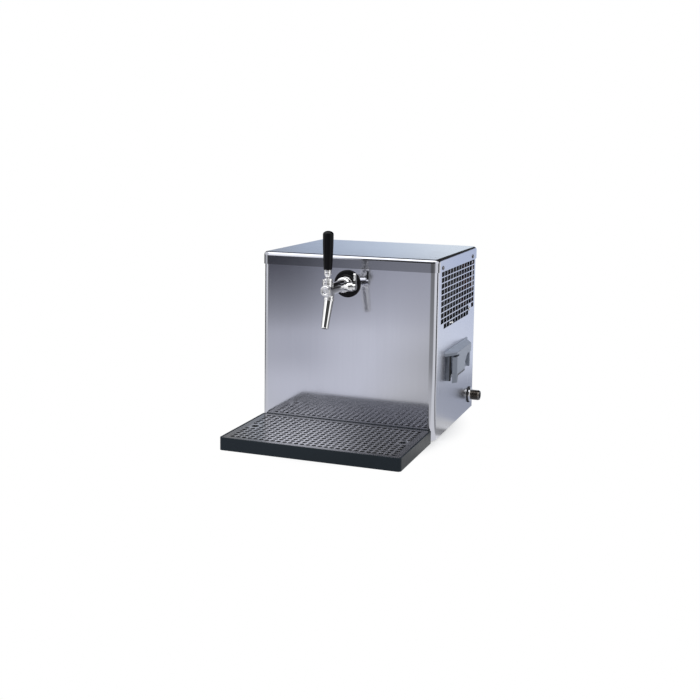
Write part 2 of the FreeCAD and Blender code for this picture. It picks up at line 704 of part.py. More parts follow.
def shank_nut():
    """Hexagon nut that clamps the shank from inside."""
    start = on_tap(-SHEET)
    end = on_tap(-SHEET - SHANK_NUT_THICKNESS)
    return hexagon(SHANK_NUT_FLATS, start, end).cut(rod(SHANK_RADIUS, start, end))


def coupling_nut():
    """Round nut that draws the tap's collar onto the shank."""
    lip = SHANK_OUTSIDE + COLLAR_LENGTH - COUPLING_FRONT
    edge = COUPLING_RADIUS - SHEET
    profile = [(SHANK_RADIUS, 0), (edge, 0), (COUPLING_RADIUS, SHEET),
               (COUPLING_RADIUS, COUPLING_LENGTH / 2 - SHEET), (edge, COUPLING_LENGTH / 2),
               (COUPLING_RADIUS, COUPLING_LENGTH / 2 + SHEET), (COUPLING_RADIUS, COUPLING_LENGTH - 2 * SHEET),
               (COUPLING_RADIUS - 2 * SHEET, COUPLING_LENGTH), (BARREL_RADIUS, COUPLING_LENGTH),
               (BARREL_RADIUS, lip), (SHANK_RADIUS, lip)]
    return turned(profile, on_tap(COUPLING_FRONT), -Y)


def tap_body():
    """Barrel with its collar, upright head, spout socket and the stub for the flow control."""
    head_foot = V(0, -HEAD_Y, TAP_HEIGHT - HEAD_RADIUS)
    head_top = V(0, -HEAD_Y, TAP_HEIGHT + BONNET_SEAT)
    stub_end = V(FLOW_STUB_END, -FLOW_Y, TAP_HEIGHT)
    solid = rod(BARREL_RADIUS, on_tap(SHANK_OUTSIDE), on_tap(BARREL_END))
    solid = solid.fuse([rod(COLLAR_RADIUS, on_tap(SHANK_OUTSIDE), on_tap(SHANK_OUTSIDE + COLLAR_LENGTH)),
                        rod(HEAD_RADIUS, head_foot, head_top),
                        rod(SPOUT_SOCKET_RADIUS, SPOUT_ROOT, SPOUT_START),
                        rod(FLOW_STUB_RADIUS, on_tap(FLOW_Y), stub_end)])
    hollows = [rod(SHANK_BORE, on_tap(SHANK_OUTSIDE), on_tap(CHAMBER_END)),
               rod(CHAMBER_RADIUS, on_tap(COUPLING_FRONT + COUPLING_LENGTH), on_tap(CHAMBER_END)),
               rod(PISTON_BORE, on_tap(CHAMBER_END), on_tap(BARREL_END)),
               rod(PISTON_BORE + SHEET, on_tap(HEAD_Y, BALL_RADIUS - SHEET), head_top),
               rod(SPOUT_PORT, SPOUT_ROOT, SPOUT_START),
               rod(FLOW_SHAFT_RADIUS, on_tap(FLOW_Y), stub_end)]
    return drilled(solid, hollows)


def drilled(solid, tools):
    """Solid with each tool cut from it in turn."""
    for tool in tools:
        solid = solid.cut(tool)
    return solid.removeSplitter()


def tap_front_cap():
    """Screwed cap that closes the barrel, with a round key socket."""
    edge = CAP_RADIUS - SHEET
    floor = CAP_THICKNESS - CAP_SOCKET_DEPTH
    profile = [(0, 0), (CAP_RADIUS, 0), (CAP_RADIUS, CAP_THICKNESS - SHEET), (edge, CAP_THICKNESS),
               (CAP_SOCKET_RADIUS, CAP_THICKNESS), (CAP_SOCKET_RADIUS, floor), (0, floor)]
    return turned(profile, on_tap(BARREL_END), -Y)


def tap_bonnet():
    """Screwed collar over the lever's ball, with a dark groove and an open cone on top."""
    foot = BALL_RADIUS + RUNNING
    groove_top = BONNET_GROOVE_RISE + BONNET_GROOVE_WIDTH
    groove = BONNET_RADIUS - BONNET_GROOVE_DEPTH
    throat = PIVOT_RISE - BONNET_SEAT + SHEET
    profile = [(foot, 0), (BONNET_RADIUS, 0), (BONNET_RADIUS, BONNET_GROOVE_RISE),
               (groove, BONNET_GROOVE_RISE), (groove, groove_top), (BONNET_RADIUS, groove_top),
               (BONNET_RADIUS, BONNET_HEIGHT - SHEET / 2), (BONNET_RADIUS - SHEET / 2, BONNET_HEIGHT),
               (BONNET_MOUTH, BONNET_HEIGHT), (foot, throat)]
    return turned(profile, V(0, -HEAD_Y, TAP_HEIGHT + BONNET_SEAT), Z)


def tap_spout():
    """Tapered spout with a collar, leaning forward."""
    profile = [(SPOUT_BORE, 0), (SPOUT_SOCKET_RADIUS, 0), (SPOUT_TOP_RADIUS, SHEET),
               (SPOUT_TOP_RADIUS, SPOUT_COLLAR), (SPOUT_SOCKET_RADIUS, SPOUT_COLLAR + SHEET),
               (SPOUT_END_RADIUS, SPOUT_LENGTH), (SPOUT_BORE, SPOUT_LENGTH)]
    return turned(profile, SPOUT_START, SPOUT_DIRECTION)


def tap_lever_stem():
    """Ball-jointed lever: finger down into the piston, stem up into the handle."""
    pivot = V(0, -HEAD_Y, PIVOT_Z)
    tip = FINGER_RADIUS - FINGER_LENGTH
    finger = rod(FINGER_RADIUS, pivot, pivot + Z * tip)
    solid = Part.makeSphere(BALL_RADIUS, pivot)
    return solid.fuse([finger, Part.makeSphere(FINGER_RADIUS, pivot + Z * tip),
                       rod(STEM_RADIUS, pivot, pivot + Z * STEM_HEIGHT)])


def handle_ferrule():
    """Chrome neck between stem and handle."""
    profile = [(STEM_RADIUS, FERRULE_RISE), (FERRULE_FOOT_RADIUS, FERRULE_RISE),
               (FERRULE_RADIUS, FERRULE_RISE + FERRULE_TAPER), (FERRULE_RADIUS, FERRULE_TOP),
               (STEM_RADIUS, FERRULE_TOP)]
    return turned(profile, V(0, -HEAD_Y, PIVOT_Z), Z)


def tap_handle():
    """Turned handle that widens upwards and ends in a dome."""
    shoulder = HANDLE_TOP - HANDLE_DOME
    waist = FERRULE_TOP + SHEET
    points = [V(STEM_RADIUS, 0, FERRULE_TOP), V(HANDLE_FOOT_RADIUS - SHEET, 0, FERRULE_TOP),
              V(HANDLE_FOOT_RADIUS, 0, waist), V(HANDLE_HEAD_RADIUS, 0, shoulder)]
    edges = [Part.LineSegment(a, b).toShape() for a, b in zip(points, points[1:])]
    crown = V(0, 0, HANDLE_TOP)
    dome_radius = (HANDLE_HEAD_RADIUS ** 2 + HANDLE_DOME ** 2) / (2 * HANDLE_DOME)
    half_angle = math.asin(HANDLE_HEAD_RADIUS / dome_radius) / 2
    bulge = V(dome_radius * math.sin(half_angle), 0, HANDLE_TOP - dome_radius * (1 - math.cos(half_angle)))
    edges.append(Part.Arc(points[-1], bulge, crown).toShape())
    socket_top = V(0, 0, STEM_HEIGHT)
    socket_corner = V(STEM_RADIUS, 0, STEM_HEIGHT)
    for a, b in ((crown, socket_top), (socket_top, socket_corner), (socket_corner, points[0])):
        edges.append(Part.LineSegment(a, b).toShape())
    solid = Part.Face(Part.Wire(edges)).revolve(V(), Z, 360)
    return solid.translated(V(0, -HEAD_Y, PIVOT_Z))


def tap_piston():
    """Sliding valve: nose with a pocket for the lever's finger, thin rod and sealing end."""
    radius = PISTON_BORE - RUNNING
    nose = rod(radius, on_tap(PISTON_FRONT), on_tap(PISTON_NOSE_END))
    neck = rod(PISTON_ROD_RADIUS, on_tap(PISTON_NOSE_END), on_tap(PISTON_SEAL_FRONT))
    plug = rod(radius, on_tap(PISTON_SEAL_FRONT), on_tap(PISTON_TAIL))
    half = FINGER_RADIUS + RUNNING
    outline = [V(-half, y - HEAD_Y, TAP_HEIGHT + z) for y, z in
               ((-POCKET_FOOT, POCKET_FLOOR), (POCKET_FOOT, POCKET_FLOOR),
                (POCKET_MOUTH, PISTON_BORE + SHEET), (-POCKET_MOUTH, PISTON_BORE + SHEET))]
    pocket = prism(outline, X * (2 * half))
    middle = (PISTON_SEAL_FRONT + PISTON_TAIL) / 2
    groove = ring(PISTON_BORE, PISTON_BORE - RUNNING - 2 * SEAL_RADIUS, on_tap(middle + SEAL_RADIUS),
                  on_tap(middle - SEAL_RADIUS))
    return nose.fuse([neck, plug]).cut(pocket).cut(groove)


def piston_seal():
    """Rubber ring in the piston's groove."""
    middle = (PISTON_SEAL_FRONT + PISTON_TAIL) / 2
    return Part.makeTorus(PISTON_BORE - RUNNING / 2 - SEAL_RADIUS, SEAL_RADIUS, on_tap(middle), Y)


def compensator_lever():
    """Flow-control lever outside the stub, with its shaft and eccentric pin."""
    hub_end = V(FLOW_STUB_END + RUNNING + FLOW_HUB_THICKNESS, -FLOW_Y, TAP_HEIGHT)
    hub_start = V(FLOW_STUB_END + RUNNING, -FLOW_Y, TAP_HEIGHT)
    shaft = rod(FLOW_SHAFT_RADIUS - RUNNING, V(FLOW_SHAFT_START, -FLOW_Y, TAP_HEIGHT), hub_end)
    hub = rod(FLOW_HUB_RADIUS, hub_start, hub_end)
    pin_start = V(FLOW_SHAFT_START - FLOW_PIN_DEPTH, -FLOW_Y, TAP_HEIGHT + FLOW_PIN_OFFSET)
    pin = rod(FLOW_PIN_RADIUS, pin_start, pin_start + X * (FLOW_PIN_DEPTH + FLOW_HUB_THICKNESS))
    arm = prism([V(hub_start.x + SHEET, y - FLOW_Y, TAP_HEIGHT + z) for y, z in
                 ((-FLOW_ARM_FOOT, 0), (FLOW_ARM_FOOT, 0), (FLOW_ARM_HEAD, FLOW_ARM_HEIGHT - SHEET),
                  (FLOW_ARM_HEAD - SHEET, FLOW_ARM_HEIGHT), (SHEET - FLOW_ARM_HEAD, FLOW_ARM_HEIGHT),
                  (-FLOW_ARM_HEAD, FLOW_ARM_HEIGHT - SHEET))], X * (FLOW_HUB_THICKNESS - SHEET))
    return shaft.fuse([hub, pin, arm])


def compensator_cone():
    """Tapered flow control inside the barrel, slotted for the lever's pin."""
    profile = [(0, 0), (CONE_NOSE_RADIUS, 0), (CONE_RADIUS, CONE_LENGTH / 2), (CONE_RADIUS, CONE_LENGTH),
               (0, CONE_LENGTH)]
    cone = turned(profile, on_tap(CONE_FRONT), Y)
    slot_foot = FLOW_SHAFT_START - FLOW_PIN_DEPTH - SHEET
    slot = box(slot_foot, CHAMBER_RADIUS, -FLOW_Y - CONE_SLOT_HALF, CONE_SLOT_HALF - FLOW_Y,
               TAP_HEIGHT - SHEET, TAP_HEIGHT + CONE_SLOT_HEIGHT)
    return cone.cut(slot)


# ---------------------------------------------------------------- beer inlet
def at_inlet(x):
    """Point on the inlet's axis."""
    return V(x, INLET_Y, INLET_HEIGHT)


def inlet_pieces():
    """Gasket, round nut, threaded stub and inner lock nut on one axis."""
    nut_face = SIDE_X + GASKET_THICKNESS
    free = nut_face + INLET_NUT_THICKNESS
    gasket = ring(GASKET_RADIUS, INLET_CORE_RADIUS, at_inlet(SIDE_X), at_inlet(nut_face))
    nut = turned([(INLET_CORE_RADIUS, 0), (INLET_NUT_RADIUS, 0),
                  (INLET_NUT_RADIUS, INLET_NUT_THICKNESS - SHEET),
                  (INLET_NUT_RADIUS - SHEET, INLET_NUT_THICKNESS), (INLET_CORE_RADIUS, INLET_NUT_THICKNESS)],
                 at_inlet(nut_face), X)
    start = SIDE_X - INLET_INSIDE
    length = INLET_INSIDE + INLET_PROUD
    shoulder = free - start
    stub = turned([(INLET_BORE, 0), (INLET_CORE_RADIUS, 0), (INLET_CORE_RADIUS, shoulder),
                   (INLET_RADIUS, shoulder), (INLET_RADIUS, length - INLET_CHAMFER),
                   (INLET_RADIUS - INLET_CHAMFER, length), (INLET_BORE, length)], at_inlet(start), X)
    inner = hexagon(LOCK_NUT_FLATS, at_inlet(INNER_X - PAN_SHEET - FIT - LOCK_NUT_THICKNESS),
                    at_inlet(INNER_X - PAN_SHEET - FIT))
    lock = inner.cut(rod(INLET_CORE_RADIUS, at_inlet(0), at_inlet(SIDE_X)))
    return {"inlet_gasket": gasket, "inlet_flange_nut": nut, "inlet_stub": stub, "inlet_lock_nut": lock}


# ---------------------------------------------------------------- drip tray
def drip_tray():
    """Moulded tray with a rim, a ledge for the grid and two ribs."""
    half = TRAY_WIDTH / 2
    outer = rounded_box(-half, half, TRAY_FRONT, TRAY_REAR, 0, TRAY_HEIGHT, TRAY_CORNER)

    def recess(inset, bottom, top):
        return box(inset - half, half - inset, TRAY_FRONT + inset, TRAY_REAR - inset, bottom, top)

    body = outer.cut(recess(TRAY_RIM, LEDGE_TOP, OVERALL_HEIGHT))
    body = body.cut(recess(TRAY_RIM + TRAY_LEDGE, TRAY_FLOOR, OVERALL_HEIGHT))
    ribs = [box(x - TRAY_RIB / 2, x + TRAY_RIB / 2, TRAY_FRONT + TRAY_RIM, TRAY_REAR - TRAY_RIM,
                TRAY_FLOOR, LEDGE_TOP) for x in (-TRAY_RIB_X, TRAY_RIB_X)]
    return body.fuse(ribs).removeSplitter()


def drip_grid():
    """Flat sheet punched with a lattice of round holes and two finger holes."""
    inset = TRAY_RIM + GRID_CLEARANCE
    half = TRAY_WIDTH / 2 - inset
    bottom = LEDGE_TOP + GRID_SEAT
    corners = [V(-half, TRAY_FRONT + inset, bottom), V(half, TRAY_FRONT + inset, bottom),
               V(half, TRAY_REAR - inset, bottom), V(-half, TRAY_REAR - inset, bottom)]
    fingers = [V(side * (TRAY_WIDTH / 2 - FINGER_HOLE_INSET), TRAY_MIDDLE, bottom) for side in (-1, 1)]
    holes = [Part.Wire(Part.makeCircle(FINGER_HOLE_RADIUS, centre)) for centre in fingers]
    keep_off = FINGER_HOLE_RADIUS + GRID_HOLE_RADIUS + FINGER_HOLE_LAND
    for column in range(GRID_COLUMNS):
        x = (column - (GRID_COLUMNS - 1) / 2) * GRID_PITCH_X
        for row in range(GRID_ROWS):
            centre = V(x, TRAY_MIDDLE + (row - (GRID_ROWS - 1) / 2) * GRID_PITCH_Y, bottom)
            if all(centre.distanceToPoint(finger) > keep_off for finger in fingers):
                holes.append(Part.Wire(Part.makeCircle(GRID_HOLE_RADIUS, centre)))
    sheet = Part.Face([Part.makePolygon(corners + corners[:1])] + holes, "Part::FaceMakerBullseye")
    return sheet.extrude(Z * GRID_SHEET)


# ---------------------------------------------------------------- cooling block
def beer_inlet_route():
    """From the side stub to the cooling block."""
    x = INS_RIGHT - BEER_IN_INSET
    return [at_inlet(SIDE_X - INLET_INSIDE), at_inlet(x), V(x, BLOCK_REAR, INLET_HEIGHT)]


def beer_outlet_route():
    """From the cooling block up to the tap's shank."""
    y = SHANK_INSIDE + BEER_OUT_REACH
    rise = (BLOCK_TOP + TAP_HEIGHT) / 2
    return [V(BEER_OUT_X, y, BLOCK_TOP), V(BEER_OUT_X, y, rise), V(0, y, TAP_HEIGHT), on_tap(-SHANK_INSIDE)]


def suction_route():
    """From the cooling block to the compressor."""
    y = BLOCK_REAR + INS_WALL + LINE_STEP
    return [V(DRIER_X, BLOCK_REAR, SUCTION_RISE), V(DRIER_X, y, SUCTION_RISE), V(COMP_X, y, SUCTION_RISE)]


def capillary_route():
    """From the drier to the cooling block."""
    y = BLOCK_REAR + INS_WALL + LINE_STEP
    return [V(DRIER_X, REAR_RUN_Y, DRIER_BOTTOM), V(DRIER_X, REAR_RUN_Y, CAPILLARY_HEIGHT),
            V(DRIER_X, y, CAPILLARY_HEIGHT), V(CAPILLARY_X, y - LINE_STEP / 2, CAPILLARY_HEIGHT),
            V(CAPILLARY_X, BLOCK_REAR, CAPILLARY_HEIGHT)]


def probe_route():
    """From under the thermostat over the insulation and down to the block."""
    z = PROBE_RUN_Z
    y = CASE_DEPTH - THERMO_DEPTH / 2
    block_y = BLOCK_REAR - INS_WALL / 2
    return [V(THERMO_X, y, z + PROBE_DROP), V(THERMO_X, y, z), V(THERMO_X, block_y, z),
            V(BEER_OUT_X, block_y, z), V(BEER_OUT_X, block_y, BLOCK_TOP)]


def cooling_block():
    """Aluminium block in which beer and refrigerant coils are cast."""
    return box(INS_LEFT + INS_WALL, INS_RIGHT - INS_WALL, INS_FRONT + INS_WALL, BLOCK_REAR,
               FLOOR + INS_WALL, BLOCK_TOP)


def insulation(bottom, top):
    """One half of the foam box round the cooling block, with the lines' channels."""
    shell = box(INS_LEFT, INS_RIGHT, INS_FRONT, INS_REAR, bottom, top).cut(cooling_block())
    return drilled(shell, [pipe(beer_inlet_route(), BEER_LINE_RADIUS, BEER_LINE_BEND),
                           pipe(beer_outlet_route(), BEER_LINE_RADIUS, BEER_LINE_BEND),
                           pipe(suction_route(), LINE_RADIUS, LINE_BEND),
                           pipe(capillary_route(), CAPILLARY_RADIUS, CAPILLARY_BEND),
                           pipe(probe_route(), PROBE_RADIUS, CAPILLARY_BEND)])


# ---------------------------------------------------------------- compressor
def compressor():
    """Hermetic can on its mounting plate."""
    centre = V(COMP_X, COMP_CENTRE_Y, COMP_BOTTOM)
    can = Part.makeCylinder(COMP_RADIUS, COMP_HEIGHT, centre)
    can = can.makeFillet(COMP_DOME, [edge for edge in can.Edges if edge.Closed])
    width = COMP_FOOT_X + COMP_PLATE_MARGIN
    depth = COMP_FOOT_Y + COMP_PLATE_MARGIN
    plate = box(COMP_X - width, COMP_X + width, COMP_CENTRE_Y - depth, COMP_CENTRE_Y + depth,
                COMP_PLATE_BOTTOM, COMP_BOTTOM)
    holes = [Part.makeCylinder(BOLT_RADIUS, COMP_PLATE, V(x, y, COMP_PLATE_BOTTOM)) for x, y in comp_feet()]
    return drilled(can.fuse(plate), holes)


def comp_feet():
    """Centres of the compressor's four mounts."""
    return [(COMP_X + sx * COMP_FOOT_X, COMP_CENTRE_Y + sy * COMP_FOOT_Y) for sx in (-1, 1) for sy in (-1, 1)]


def compressor_mounts():
    """Rubber grommets under the plate and the bolts through them."""
    grommets = []
    bolts = []
    for x, y in comp_feet():
        foot = V(x, y, FLOOR)
        seat = V(x, y, COMP_PLATE_BOTTOM)
        head = V(x, y, COMP_BOTTOM)
        grommets.append(ring(GROMMET_RADIUS, BOLT_RADIUS, foot, seat))
        bolt_head = rod(BOLT_HEAD_RADIUS, head, head + Z * BOLT_HEAD_HEIGHT)
        bolts.append(rod(BOLT_RADIUS, foot, head).fuse(bolt_head))
    return Part.makeCompound(grommets), Part.makeCompound(bolts)


def start_relay_box():
    """Relay housing on the compressor's rear."""
    front = COMP_CENTRE_Y + COMP_RADIUS - RELAY_DEPTH / 2
    bottom = COMP_BOTTOM + RELAY_RISE
    body = box(COMP_X - RELAY_WIDTH / 2, COMP_X + RELAY_WIDTH / 2, front, front + RELAY_DEPTH,
               bottom, bottom + RELAY_HEIGHT)
    return body.cut(compressor())


# ---------------------------------------------------------------- condenser and fan
def coil_route():
    """Serpentine through both tube columns, from the top level to the bottom one."""
    front = COND_FRONT - FRAME_SHEET - COND_OVERHANG
    points = [V(TUBE_XS[0], LINE_START_Y, TUBE_TOP)]
    for level in range(COND_LEVELS):
        z = TUBE_TOP - level * COND_LEVEL_PITCH
        first, second = TUBE_XS if level % 2 == 0 else TUBE_XS[::-1]
        if level:
            points.append(V(first, COIL_END_Y, z))
        points += [V(first, front, z), V(second, front, z)]
        if level < COND_LEVELS - 1:
            points.append(V(second, COIL_END_Y, z))
    last_x = TUBE_XS[0] if COND_LEVELS % 2 == 0 else TUBE_XS[1]
    return points + [V(last_x, LINE_START_Y, TUBE_BOTTOM)]


def tube_holes(front, back):
    """Bars on every straight run of the coil."""
    return [rod(COND_TUBE_RADIUS, V(x, front, TUBE_TOP - level * COND_LEVEL_PITCH),
                V(x, back, TUBE_TOP - level * COND_LEVEL_PITCH))
            for x in TUBE_XS for level in range(COND_LEVELS)]


def condenser_fins():
    """Thin plates threaded on the coil."""
    pitch = (COND_REAR - COND_FRONT) / (FIN_COUNT + 1)
    holes = Part.makeCompound(tube_holes(COND_FRONT, COND_FRONT + FIN_SHEET))
    fin = box(COND_LEFT, COND_RIGHT, COND_FRONT, COND_FRONT + FIN_SHEET, COND_BOTTOM, COND_TOP).cut(holes)
    return Part.makeCompound([fin.translated(Y * (pitch * (k + 1))) for k in range(FIN_COUNT)])


def condenser_frame():
    """Bottom sheet, end plates and two rear legs that carry the condenser and the shroud."""
    left = COND_LEFT - FRAME_SHEET
    right = COND_RIGHT + FRAME_SHEET
    front = COND_FRONT - FRAME_SHEET
    back = COND_REAR + FRAME_SHEET
    bottom = box(left, right, front, back, INS_TOP, COND_BOTTOM)
    ends = [box(left, right, y, y + FRAME_SHEET, INS_TOP, COND_TOP) for y in (front, COND_REAR)]
    leg_y = COND_REAR - FRAME_LEG_REAR
    legs = [box(x, x + FRAME_LEG_WIDTH, leg_y, leg_y + FRAME_SHEET, FLOOR, COND_BOTTOM)
            for x in (left, right - FRAME_LEG_WIDTH)]
    return drilled(bottom.fuse(ends + legs), tube_holes(front, back))


def fan_shroud():
    """Plate on the condenser's inner face, with a ring round the fan."""
    outer_x = SHROUD_X
    plate = box(outer_x - SHROUD_SHEET, outer_x, COND_FRONT - FRAME_SHEET, COND_REAR + FRAME_SHEET,
                INS_TOP, COND_TOP)
    start = V(outer_x - SHROUD_RING, FAN_Y, FAN_Z)
    end = V(outer_x, FAN_Y, FAN_Z)
    return plate.fuse(rod(RING_RADIUS + SHROUD_SHEET, start, end)).cut(rod(RING_RADIUS, start, end))


def fan_rotor():
    """Hub with pitched blades, bored for the motor's shaft."""
    hub_start = V(HUB_X, FAN_Y, FAN_Z)
    hub_end = hub_start + X * FAN_HUB_LENGTH
    middle = hub_start + X * (FAN_HUB_LENGTH / 2)
    blade = box(-FAN_BLADE_SHEET / 2, FAN_BLADE_SHEET / 2, -FAN_BLADE_WIDTH / 2, FAN_BLADE_WIDTH / 2,
                FAN_HUB_RADIUS - FAN_BLADE_SHEET, FAN_RADIUS - FAN_BLADE_SHEET)
    blade.rotate(V(), Z, 90 - FAN_BLADE_PITCH_DEG)
    blades = []
    for k in range(FAN_BLADES):
        one = blade.copy()
        one.rotate(V(), X, 360 / FAN_BLADES * k)
        blades.append(one.translated(middle))
    bore = rod(FAN_SHAFT_RADIUS + RUNNING, hub_start, hub_end)
    return rod(FAN_HUB_RADIUS, hub_start, hub_end).fuse(blades).cut(bore)


def fan_motor():
    """Round motor with its shaft."""
    face = V(MOTOR_FACE, FAN_Y, FAN_Z)
    body = rod(MOTOR_RADIUS, face - X * MOTOR_LENGTH, face)
    body = body.makeFillet(MOTOR_GAP / 2, [edge for edge in body.Edges if edge.Closed])
    return body.fuse(rod(FAN_SHAFT_RADIUS, face, V(HUB_X + FAN_HUB_LENGTH, FAN_Y, FAN_Z)))


def fan_bracket():
    """Strap round the motor, bent back to the shroud plate on both sides."""
    front = MOTOR_FACE - MOTOR_LENGTH / 2
    back = front + BRACKET_SHEET
    plate_x = SHROUD_X - SHROUD_SHEET
    reach = RING_RADIUS + SHROUD_SHEET + BRACKET_SHEET
    low = FAN_Z - BRACKET_WIDTH / 2
    high = FAN_Z + BRACKET_WIDTH / 2
    strap = box(front, back, FAN_Y - reach, FAN_Y + reach, low, high)
    clamp = rod(BRACKET_RING, V(front, FAN_Y, FAN_Z), V(back, FAN_Y, FAN_Z))
    legs = [box(front, plate_x, y, y + BRACKET_SHEET, low, high)
            for y in (FAN_Y - reach, FAN_Y + reach - BRACKET_SHEET)]
    return strap.fuse([clamp] + legs).cut(rod(MOTOR_RADIUS, V(0, FAN_Y, FAN_Z), V(SIDE_X, FAN_Y, FAN_Z)))


# ---------------------------------------------------------------- refrigerant lines
def suction_line():
    """Return line to the compressor."""
    return pipe(suction_route(), LINE_RADIUS, LINE_BEND).cut(compressor())


def discharge_line():
    """Hot line from the compressor to the top of the coil."""
    x = TUBE_XS[0]
    y = COMP_CENTRE_Y + LINE_BEND
    z = DISCHARGE_RISE
    points = [V(COMP_X, y, z), V(DISCHARGE_X, y, z), V(DISCHARGE_X, REAR_RUN_Y, z),
              V(DISCHARGE_X, REAR_RUN_Y, TUBE_TOP), V(x, REAR_RUN_Y, TUBE_TOP), V(x, LINE_START_Y, TUBE_TOP)]
    return pipe(points, LINE_RADIUS, COND_TAIL - FIT).cut(compressor())


def liquid_line():
    """Line from the bottom of the coil to the drier."""
    x = coil_route()[-1].x
    points = [V(x, LINE_START_Y, TUBE_BOTTOM), V(x, REAR_RUN_Y, TUBE_BOTTOM),
              V(DRIER_X, REAR_RUN_Y, TUBE_BOTTOM), V(DRIER_X, REAR_RUN_Y, DRIER_BOTTOM + DRIER_HEIGHT)]
    return pipe(points, LINE_RADIUS, COND_TAIL - FIT)


def filter_drier():
    """Small canister with tapered ends."""
    taper = DRIER_RADIUS
    profile = [(0, 0), (LINE_RADIUS, 0), (DRIER_RADIUS, taper), (DRIER_RADIUS, DRIER_HEIGHT - taper),
               (LINE_RADIUS, DRIER_HEIGHT), (0, DRIER_HEIGHT)]
    return turned(profile, V(DRIER_X, REAR_RUN_Y, DRIER_BOTTOM), Z)


# ---------------------------------------------------------------- controls
def thermostat():
    """Square thermostat body with the shaft that carries the knob."""
    body = centred(THERMO_X, THERMO_HEIGHT, THERMO_SIZE, THERMO_SIZE, CASE_DEPTH - THERMO_DEPTH, CASE_DEPTH)
    return body.fuse(rod(THERMO_SHAFT_RADIUS, V(THERMO_X, CASE_DEPTH, THERMO_HEIGHT),
                         V(THERMO_X, REAR_FACE + THERMO_SHAFT_LENGTH - KNOB_CAP, THERMO_HEIGHT)))


def thermostat_knob():
    """Turned knob with a raised pointer, running on the thermostat's shaft."""
    foot = V(THERMO_X, REAR_FACE + KNOB_GAP, THERMO_HEIGHT)
    depth = THERMO_SHAFT_LENGTH - KNOB_CAP
    bore = THERMO_SHAFT_RADIUS + RUNNING
    profile = [(bore, 0), (KNOB_RADIUS, 0), (KNOB_RADIUS - KNOB_TAPER, KNOB_HEIGHT - SHEET),
               (KNOB_RADIUS - KNOB_TAPER - SHEET, KNOB_HEIGHT), (0, KNOB_HEIGHT), (0, depth), (bore, depth)]
    pointer = box(THERMO_X - KNOB_POINTER / 2, THERMO_X + KNOB_POINTER / 2,
                  foot.y + KNOB_HEIGHT - SHEET, foot.y + KNOB_HEIGHT + SHEET,
                  THERMO_HEIGHT, THERMO_HEIGHT + KNOB_RADIUS - 2 * KNOB_TAPER)
    return turned(profile, foot, Y).fuse(pointer)


def switch_housing():
    """Snap-in frame of the power switch."""
    body = centred(SWITCH_X, CONTROLS_HEIGHT, SWITCH_WIDTH, SWITCH_HEIGHT,
                   CASE_DEPTH - SWITCH_DEPTH, REAR_FACE)
    flange = centred(SWITCH_X, CONTROLS_HEIGHT, SWITCH_WIDTH + 2 * SWITCH_BEZEL,
                     SWITCH_HEIGHT + 2 * SWITCH_BEZEL, REAR_FACE, REAR_FACE + SWITCH_FLANGE)
    well = centred(SWITCH_X, CONTROLS_HEIGHT, SWITCH_WIDTH - 2 * SWITCH_WALL, SWITCH_HEIGHT - 2 * SWITCH_WALL,
                   REAR_FACE - ROCKER_DEPTH - SWITCH_WALL, REAR_FACE + SWITCH_FLANGE)
    axle_half = SWITCH_WIDTH / 2 - SWITCH_WALL + ROCKER_PIN_LENGTH
    axle = rod(ROCKER_PIN_RADIUS + RUNNING, rocker_axis(-axle_half), rocker_axis(axle_half))
    return body.fuse(flange).cut(well).cut(axle)


def rocker_axis(offset):
    """Point on the rocker's pivot line."""
    return V(SWITCH_X + offset, REAR_FACE - ROCKER_DEPTH / 2, CONTROLS_HEIGHT)


def switch_rocker():
    """Rocker with two pivot pins; its outer face is hollowed to a shallow V."""
    half_width = SWITCH_WIDTH / 2 - SWITCH_WALL - ROCKER_GAP
    half_height = SWITCH_HEIGHT / 2 - SWITCH_WALL - ROCKER_GAP
    axis = rocker_axis(0)
    swing = math.tan(math.radians(ROCKER_ANGLE_DEG))
    outer = ROCKER_DEPTH / 2 + SWITCH_FLANGE
    trim = (outer + ROCKER_PROUD) * swing
    points = [(-outer / 2, -half_height / 2), (0, trim - half_height), (outer, trim - half_height),
              (outer - ROCKER_PROUD / 2, 0), (outer + ROCKER_PROUD, half_height - trim),
              (0, half_height - trim), (-outer / 2, half_height / 2)]
    outline = [V(axis.x - half_width, axis.y + y, axis.z + z) for y, z in points]
    body = prism(outline, X * (2 * half_width))
    pin_half = SWITCH_WIDTH / 2 - SWITCH_WALL + ROCKER_PIN_LENGTH - RUNNING
    return body.fuse(rod(ROCKER_PIN_RADIUS, rocker_axis(-pin_half), rocker_axis(pin_half)))


def mains_inlet():
    """Three-pole appliance inlet with a flange."""
    body = centred(INLET_PLUG_X, CONTROLS_HEIGHT, PLUG_WIDTH, PLUG_HEIGHT,
                   CASE_DEPTH - PLUG_DEPTH, REAR_FACE)
    flange = centred(INLET_PLUG_X, CONTROLS_HEIGHT, PLUG_FLANGE_WIDTH, PLUG_FLANGE_HEIGHT,
                     REAR_FACE, REAR_FACE + PLUG_FLANGE)
    floor = CASE_DEPTH - PLUG_DEPTH + PLUG_WALL
    well = centred(INLET_PLUG_X, CONTROLS_HEIGHT, PLUG_WIDTH - 2 * PLUG_WALL, PLUG_HEIGHT - 2 * PLUG_WALL,
                   floor, REAR_FACE + PLUG_FLANGE)
    pins = [centred(INLET_PLUG_X + k * PLUG_PIN_PITCH, CONTROLS_HEIGHT + (1 - 2 * abs(k)) * PLUG_PIN_SHEET,
                    PLUG_PIN_SHEET, PLUG_PIN_WIDTH, floor, floor + PLUG_PIN_LENGTH) for k in (-1, 0, 1)]
    return body.fuse(flange).cut(well).fuse(pins)


